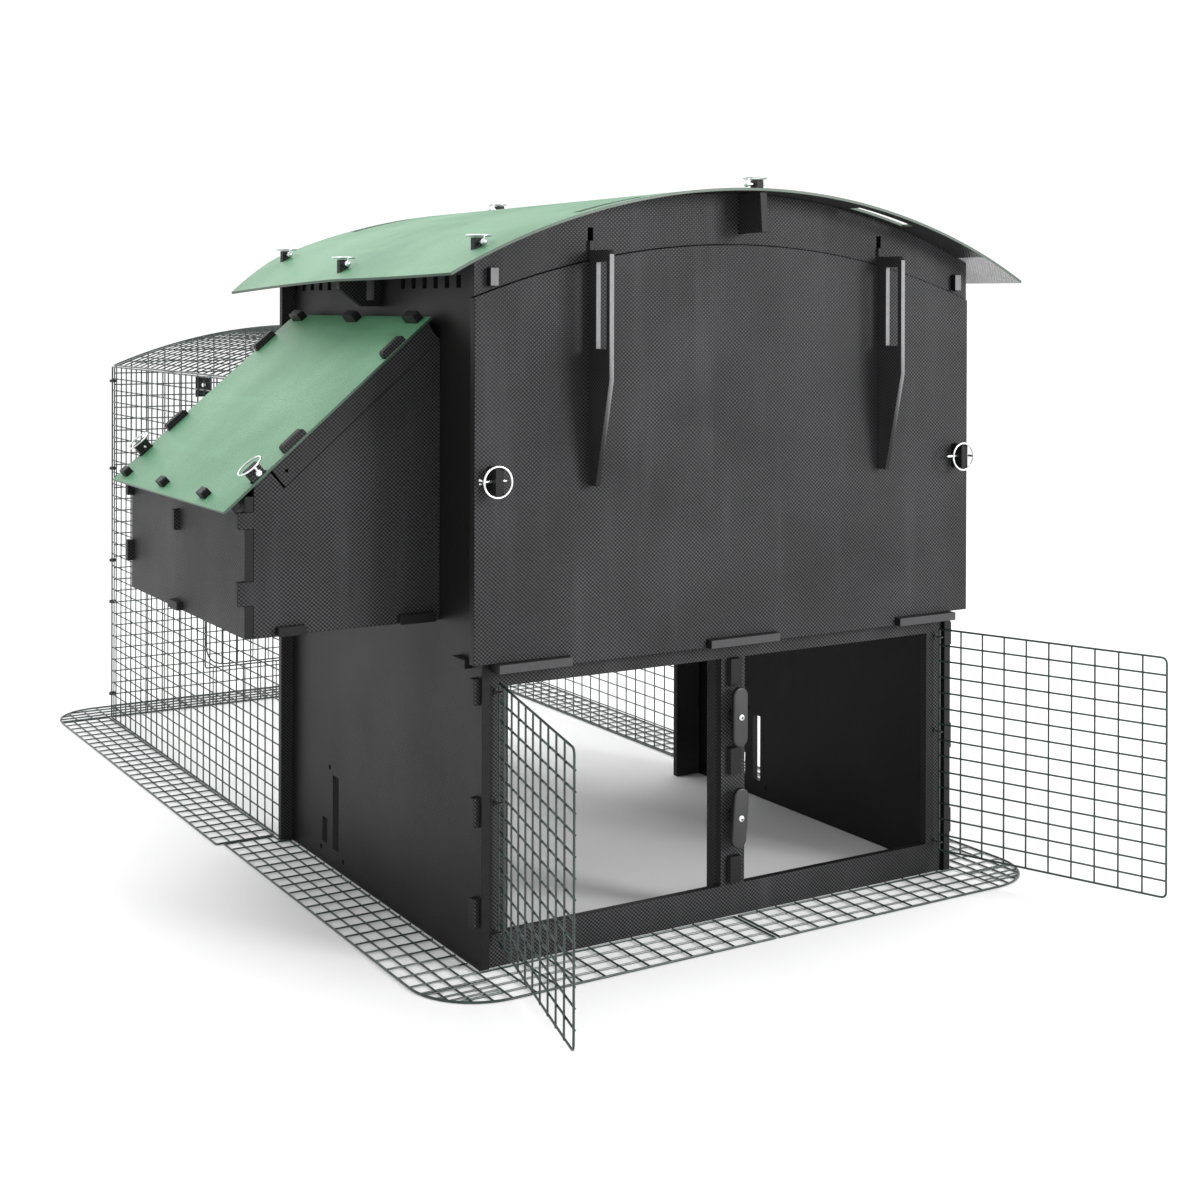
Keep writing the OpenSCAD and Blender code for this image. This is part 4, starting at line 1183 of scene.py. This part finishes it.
@dataclass
class WireRun:
    """The run's four wire panels, its end door and its clips."""

    finishes: Finishes
    x: float = 0.434
    start: float = 0.6875
    end: float = 1.6975
    wall: float = 0.765
    crest: float = 0.855
    roof_start: float = 0.6985
    col: float = 0.0365
    row: float = 0.025
    thin: float = 0.0013
    thick: float = 0.0016
    lap: float = 0.0009          # how far crossing wires stand off each other's plane
    past: float = 0.001          # how far a wire's end runs on over the edge wire
    bend: float = 0.004          # rounding of a panel's corners
    inset: float = 0.004         # from the side panels to the roof's and end's outer wires
    chord: float = 0.030         # length of a straight stretch of the arch
    end_drop: float = 0.0055     # the end panel's arch lies this far under the roof's
    door_x: float = 0.219
    door_low: float = 0.090
    door_high: float = 0.690
    door_gap: float = 0.0045     # from the door's edge wire to the doorway's
    door_out: float = 0.006      # the door hangs this far outside the end panel
    door_corner: float = 0.045
    door_bend: float = 0.006     # rounding of the doorway and of the door's other corners

    def radius(self) -> float:
        """Return the radius of the run's arched roof."""
        rise = self.crest - self.wall - 0.002
        return (self.x ** 2 + rise ** 2) / (2 * rise)

    def top(self, x: float, below: float = 0.0) -> float:
        """Return the height of the arch at x, less below."""
        radius = self.radius()
        return self.crest - radius + math.sqrt((radius - below) ** 2 - x * x)

    def side(self, side: int, name: str) -> Thing:
        """Build one side panel.

        Args:
            side: -1 for the left, 1 for the right.
            name: The plain node that it stands for.

        Returns:
            The panel.
        """
        piece = Piece(f"{name}_wires")
        y0, y1, z0, z1 = self.start + 0.0016, self.end - 0.0030, 0.0017, self.wall - 0.0016
        x = side * self.x
        out = side * self.thin * WIRE_LAP
        rim = [Vector((x, y0, z0)), Vector((x, y1, z0)), Vector((x, y1, z1)), Vector((x, y0, z1))]
        piece.wire(rounded_loop(rim, [self.bend] * 4, 3), self.thick, RIM_SIDES, closed=True)
        for y in spread(y0, y1, self.col)[1:-1]:
            piece.wire([Vector((x + out, y, z0 - 0.0005)), Vector((x + out, y, z1 + 0.0012))], self.thin)
        for z in spread(z0, z1, self.row)[1:-1]:
            piece.wire([Vector((x - out, y0 - self.past, z)), Vector((x - out, y1 + self.past, z))],
                       self.thin)
        return piece.build(self.finishes.wire, "coop", [name], "coated_wire")

    def roof(self) -> Thing:
        """Build the arched roof panel.

        Returns:
            The panel.
        """
        piece = Piece("run_roof_wires")
        y0, y1, reach = self.roof_start + 0.0016, self.end - 0.0042, self.x - self.inset
        xs = spread(-reach, reach, self.chord)
        hoops = spread(y0, y1, self.col)
        for k, y in enumerate(hoops):
            edge = k in (0, len(hoops) - 1)
            piece.wire([Vector((x, y, self.top(x) - (self.thick if edge else self.lap))) for x in xs],
                       self.thick if edge else self.thin)
        lanes = spread(-reach, reach, self.row * 0.985)
        for k, x in enumerate(lanes):
            edge = k in (0, len(lanes) - 1)
            z = self.top(x) - (self.thick if edge else 0.0028)
            piece.wire([Vector((x, y0 - self.past, z)), Vector((x, y1 + self.past, z))],
                       self.thick if edge else self.thin)
        return piece.build(self.finishes.wire, "coop", ["run_roof_mesh"], "coated_wire")

    @staticmethod
    def spans(low: float, high: float, hole: tuple[float, float] | None) -> list[tuple[float, float]]:
        """Return what is left of low..high outside a hole."""
        return [(low, high)] if hole is None else [(low, hole[0]), (hole[1], high)]

    def end_panel(self) -> Thing:
        """Build the end panel round its doorway.

        Returns:
            The panel.
        """
        piece = Piece("run_end_wires")
        reach, y = self.x - self.end_drop, self.end
        hole_x, hole_low, hole_high = (self.door_x + self.door_gap, self.door_low - self.door_gap,
                                       self.door_high + self.door_gap)
        outline = [Vector((reach, y, 0.0017)), Vector((-reach, y, 0.0017))]
        outline += [Vector((x, y, self.top(x, self.end_drop))) for x in spread(-reach, reach, self.chord)]
        piece.wire(outline, self.thick, RIM_SIDES, closed=True)
        doorway = [Vector((-hole_x, y, hole_low)), Vector((hole_x, y, hole_low)),
                   Vector((hole_x, y, hole_high)), Vector((-hole_x, y, hole_high))]
        piece.wire(rounded_loop(doorway, [self.door_bend] * 4, 4), self.thick, RIM_SIDES, closed=True)
        for x in spread(-reach, reach, self.col)[1:-1]:
            hole = (hole_low, hole_high) if abs(x) < hole_x else None
            for low, high in self.spans(0.0012, self.top(x, 0.0050), hole):
                piece.wire([Vector((x, y + self.lap, low)), Vector((x, y + self.lap, high))], self.thin)
        arch = self.radius()
        for z in spread(0.0017, self.top(0, self.end_drop), self.row)[1:-1]:
            edge = reach
            if z > self.top(reach, self.end_drop):
                edge = math.sqrt(max((arch - self.end_drop) ** 2 - (z - self.crest + arch) ** 2, 0.0))
            hole = (-hole_x, hole_x) if hole_low < z < hole_high else None
            for low, high in self.spans(-edge, edge, hole):
                piece.wire([Vector((low, y - self.lap, z)), Vector((high, y - self.lap, z))], self.thin)
        return piece.build(self.finishes.wire, "coop", ["run_end_mesh"], "coated_wire")

    def end_door(self) -> Thing:
        """Build the end door with its rounded corners.

        Returns:
            The door.
        """
        piece = Piece("run_end_door_wires")
        y, side, low, high = self.end + self.door_out, self.door_x, self.door_low, self.door_high
        rim = [Vector((-side, y, low)), Vector((side, y, low)),
               Vector((side, y, high)), Vector((-side, y, high))]
        bends = [self.door_corner, self.door_bend, self.door_bend, self.door_corner]
        piece.wire(rounded_loop(rim, bends), self.thick, RIM_SIDES, closed=True)
        for x in spread(-side, side, self.col)[1:-1]:
            cut = self.trim(x + side)
            piece.wire([Vector((x, y + self.lap, low + cut)), Vector((x, y + self.lap, high - cut))],
                       self.thin)
        for z in spread(low, high, self.row)[1:-1]:
            cut = self.trim(min(z - low, high - z))
            piece.wire([Vector((-side + cut, y - self.lap, z)), Vector((side, y - self.lap, z))], self.thin)
        return piece.build(self.finishes.wire, "run_door", ["run_end_door"], "coated_wire")

    def trim(self, inside: float) -> float:
        """Shorten a wire that ends on the door's rounded corner.

        Args:
            inside: How far the wire lies inside the door's edge.

        Returns:
            How much shorter it is at that end.
        """
        if inside >= self.door_corner:
            return 0.0
        return self.door_corner * (1 - math.sqrt(inside / self.door_corner)) ** 2

    def build(self) -> list[Thing]:
        """Build the whole run.

        Returns:
            The panels, the end door, its rings and latch, and the clips.
        """
        fitting = self.finishes.fitting
        return [self.side(-1, "run_left_mesh"), self.side(1, "run_right_mesh"), self.roof(), self.end_panel(),
                self.end_door(), dress("run_door_rings", self.finishes.black_steel, 0.0),
                dress("run_clips", fitting), dress("run_door_latch", fitting, 0.001)]


@dataclass
class GroundSkirt:
    """The wire skirt that lies on the ground round the house and the run."""

    finishes: Finishes
    x: float = 0.428
    past_x: float = 0.442        # beside the rear board's end
    run_x: float = 0.440
    middle: float = 0.0042       # where the two front halves start
    width: float = 0.100
    front: float = -0.016
    turn_y: float = 0.6705
    back: float = 0.7015
    run_end: float = 1.6975
    gap: float = 0.0055          # between two panels
    cell: float = 0.025
    cross: float = 0.036
    thin: float = 0.0013
    thick: float = 0.0016
    lap: float = 0.0008          # how much higher the crossing wires lie
    bend: float = 0.004          # rounding of the run panels' corners

    def lay(self, piece: Piece, a: tuple[float, float], b: tuple[float, float], upper: bool = False) -> None:
        """Lay one straight wire on the ground.

        Args:
            piece: Where it goes.
            a: Its start, (x, y).
            b: Its end.
            upper: Whether it crosses over the others.
        """
        z = self.thin + (self.lap if upper else 0.0)
        piece.wire([Vector((*a, z)), Vector((*b, z))], self.thin)

    def rim(self, piece: Piece, outline: Path) -> None:
        """Lay a panel's edge wire along a flat outline."""
        piece.wire([Vector((p.x, p.y, self.thick)) for p in outline], self.thick, RIM_SIDES, closed=True)

    def finish(self, piece: Piece, name: str, mirrored: bool = False) -> Thing:
        """Make a panel, mirrored to the left or as it is.

        Args:
            piece: Its wires.
            name: The plain node that it stands for.
            mirrored: Whether it is turned over to the left side.

        Returns:
            The panel.
        """
        if mirrored:
            piece.moved(Matrix.Scale(-1, 4, X))
        return piece.build(self.finishes.wire, "coop", [name], "coated_wire")

    def house_panel(self, side: int, name: str) -> Thing:
        """Build the panel along one side of the house and half of its front.

        Args:
            side: -1 for the left, 1 for the right.
            name: The plain node that it stands for.

        Returns:
            The panel.
        """
        piece = Piece(f"{name}_wires")
        inner, outer, middle = self.x, self.x + self.width, self.middle
        low = self.front - self.width
        corner = arc(Vector((self.x, self.front, 0)), self.width, -90, 0, X, Y, 16)
        self.rim(piece, [Vector((middle, self.front, 0)), Vector((middle, low, 0)), *corner,
                         Vector((outer, self.back, 0)), Vector((self.past_x, self.back, 0)),
                         Vector((self.past_x, self.turn_y, 0)), Vector((inner, self.turn_y, 0)),
                         Vector((inner, self.front, 0))])
        for k in (1, 2, 3):
            d = k * self.cell
            across = math.sqrt(self.width ** 2 - d * d)
            if inner + d > self.past_x:
                self.lay(piece, (inner + d, self.front - across), (inner + d, self.back))
            self.lay(piece, (middle, self.front - d), (inner + across, self.front - d))
        for y in spread(self.front, self.back, self.cross)[:-1]:
            start = inner if y < self.turn_y else self.past_x
            self.lay(piece, (start - 0.004, y), (outer, y), upper=True)
        for x in spread(middle, inner, self.cross)[1:]:
            self.lay(piece, (x, self.front + 0.004), (x, low), upper=True)
        for d in spread(0, self.width, self.cross)[1:-1]:
            across = math.sqrt(self.width ** 2 - d * d)
            self.lay(piece, (inner, self.front - d), (inner + across, self.front - d), upper=True)
        return self.finish(piece, name, side < 0)

    def run_panel(self, side: int, name: str) -> Thing:
        """Build the panel along one side of the run.

        Args:
            side: -1 for the left, 1 for the right.
            name: The plain node that it stands for.

        Returns:
            The panel.
        """
        piece = Piece(f"{name}_wires")
        low, high = self.back + self.gap, self.run_end
        inner, outer = self.run_x, self.run_x + self.width
        loop = [Vector((inner, low, 0)), Vector((outer, low, 0)),
                Vector((outer, high, 0)), Vector((inner, high, 0))]
        self.rim(piece, rounded_loop(loop, [self.bend] * 4, 3))
        for k in (1, 2, 3):
            self.lay(piece, (inner + k * self.cell, low), (inner + k * self.cell, high))
        for y in spread(low, high, self.cross)[1:-1]:
            self.lay(piece, (inner - 0.003, y), (outer, y), upper=True)
        return self.finish(piece, name, side < 0)

    def end_panel(self, name: str) -> Thing:
        """Build the panel across the run's end, with both outer corners rounded.

        Args:
            name: The plain node that it stands for.

        Returns:
            The panel.
        """
        piece = Piece(f"{name}_wires")
        near, wide, deep = self.run_end + self.gap, self.run_x, self.width - 0.0015
        corners = ((wide, 0, 90), (-wide, 90, 180))
        self.rim(piece, [p for x, start, end in corners
                         for p in arc(Vector((x, near, 0)), deep, start, end, X, Y, 16)])
        for k in (1, 2, 3):
            d = k * self.cell
            across = math.sqrt(deep ** 2 - d * d)
            self.lay(piece, (-wide - across, near + d), (wide + across, near + d))
        for x in spread(-wide, wide, self.cross):
            self.lay(piece, (x, near - 0.001), (x, near + deep), upper=True)
        for side in (-1, 1):
            for d in spread(0, deep, self.cross)[1:-1]:
                x = side * (wide + d)
                self.lay(piece, (x, near), (x, near + math.sqrt(deep ** 2 - d * d)), upper=True)
        return self.finish(piece, name)

    def build(self) -> list[Thing]:
        """Build every skirt panel.

        Returns:
            The five panels.
        """
        panels = [self.house_panel(-1, "skirt_left"), self.run_panel(-1, "run_skirt_left"),
                  self.house_panel(1, "skirt_right"), self.run_panel(1, "run_skirt_right")]
        return [*panels, self.end_panel("run_skirt_end")]


@dataclass(frozen=True)
class Lamp:
    """One soft square light."""

    name: str
    at: Triple
    target: Triple
    size: float                  # metres
    power: float                 # watts

    def build(self) -> Thing:
        """Hang the lamp and turn it to its target.

        Returns:
            The lamp.
        """
        data = bpy.data.lights.new(self.name, "AREA")
        data.shape, data.size, data.energy = "SQUARE", self.size, self.power
        lamp = bpy.data.objects.new(self.name, data)
        lamp.location = self.at
        lamp.rotation_euler = (Vector(self.target) - Vector(self.at)).to_track_quat("-Z", "Y").to_euler()
        bpy.context.scene.collection.objects.link(lamp)
        return lamp


@dataclass
class Studio:
    """Pale floor, soft lights and the camera."""

    eye: Triple = (-1.5133, -2.1044, 0.8947)
    heading: float = -31.28
    dip: float = 0.18
    roll: float = -0.164
    lens: float = 52.56
    sensor: float = 36.0
    shift: tuple[float, float] = (0.0035, -0.2389)
    floor_size: float = 60.0
    floor_drop: float = 0.0005   # the floor lies this far under the wires
    glow: float = 1.1            # strength of the even light from all round
    lamps: tuple[Lamp, ...] = (Lamp("overhead", (-0.6, 1.0, 3.8), (0, 0.6, 0.6), 3.2, 60),
                               Lamp("front", (2.5, -4.0, 1.9), (0, 0, 0.7), 1.5, 196),
                               Lamp("rear", (-0.4, 5.6, 3.6), (-0.2, 0.3, 0.9), 4.0, 38))

    def floor(self) -> Thing:
        """Lay the floor.

        Returns:
            The floor.
        """
        bpy.ops.mesh.primitive_plane_add(size=self.floor_size, location=(0, 0, -self.floor_drop))
        floor = bpy.context.object
        floor.name = "studio_floor"
        floor.data.materials.append(FloorFinish().material())
        return floor

    def world(self) -> None:
        """Light the scene evenly from all round."""
        world = bpy.data.worlds.new("studio_world")
        world.use_nodes = True
        background = world.node_tree.nodes["Background"]
        background.inputs["Color"].default_value = (1, 1, 1, 1)
        background.inputs["Strength"].default_value = self.glow
        bpy.context.scene.world = world
        bpy.context.scene.view_settings.view_transform = "Standard"

    def camera(self) -> Thing:
        """Set the camera.

        Returns:
            The camera.
        """
        data = bpy.data.cameras.new("camera")
        data.lens, data.sensor_width = self.lens, self.sensor
        data.shift_x, data.shift_y = self.shift
        camera = bpy.data.objects.new("camera", data)
        camera.location = self.eye
        camera.rotation_euler = tuple(math.radians(a) for a in (90 - self.dip, self.roll, self.heading))
        bpy.context.scene.collection.objects.link(camera)
        bpy.context.scene.camera = camera
        return camera

    def build(self) -> list[Thing]:
        """Build the studio.

        Returns:
            The floor, the lamps and the camera.
        """
        floor = self.floor()
        self.world()
        return [floor, *(lamp.build() for lamp in self.lamps), self.camera()]


def main() -> None:
    """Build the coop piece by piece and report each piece."""
    logging.basicConfig(level=logging.INFO, format="%(message)s")
    finishes = Finishes()
    for part in (
        BoardHouse(finishes),
        ArchedRoof(finishes),
        LiftOffFront(finishes),
        NestBox(finishes),
        WireDoor(finishes, "left_door", (-0.395, -0.016), -104.5, False),
        WireDoor(finishes, "right_door", (0.395, -0.016), 110.5, True),
        TurnButtons(finishes),
        WireRun(finishes),
        GroundSkirt(finishes),
        Studio(),
    ):
        for made in part.build():
            log.info("%s: %s", type(part).__name__, made.name)
    log.info("sizes written")


if __name__ == "__main__":
    main()
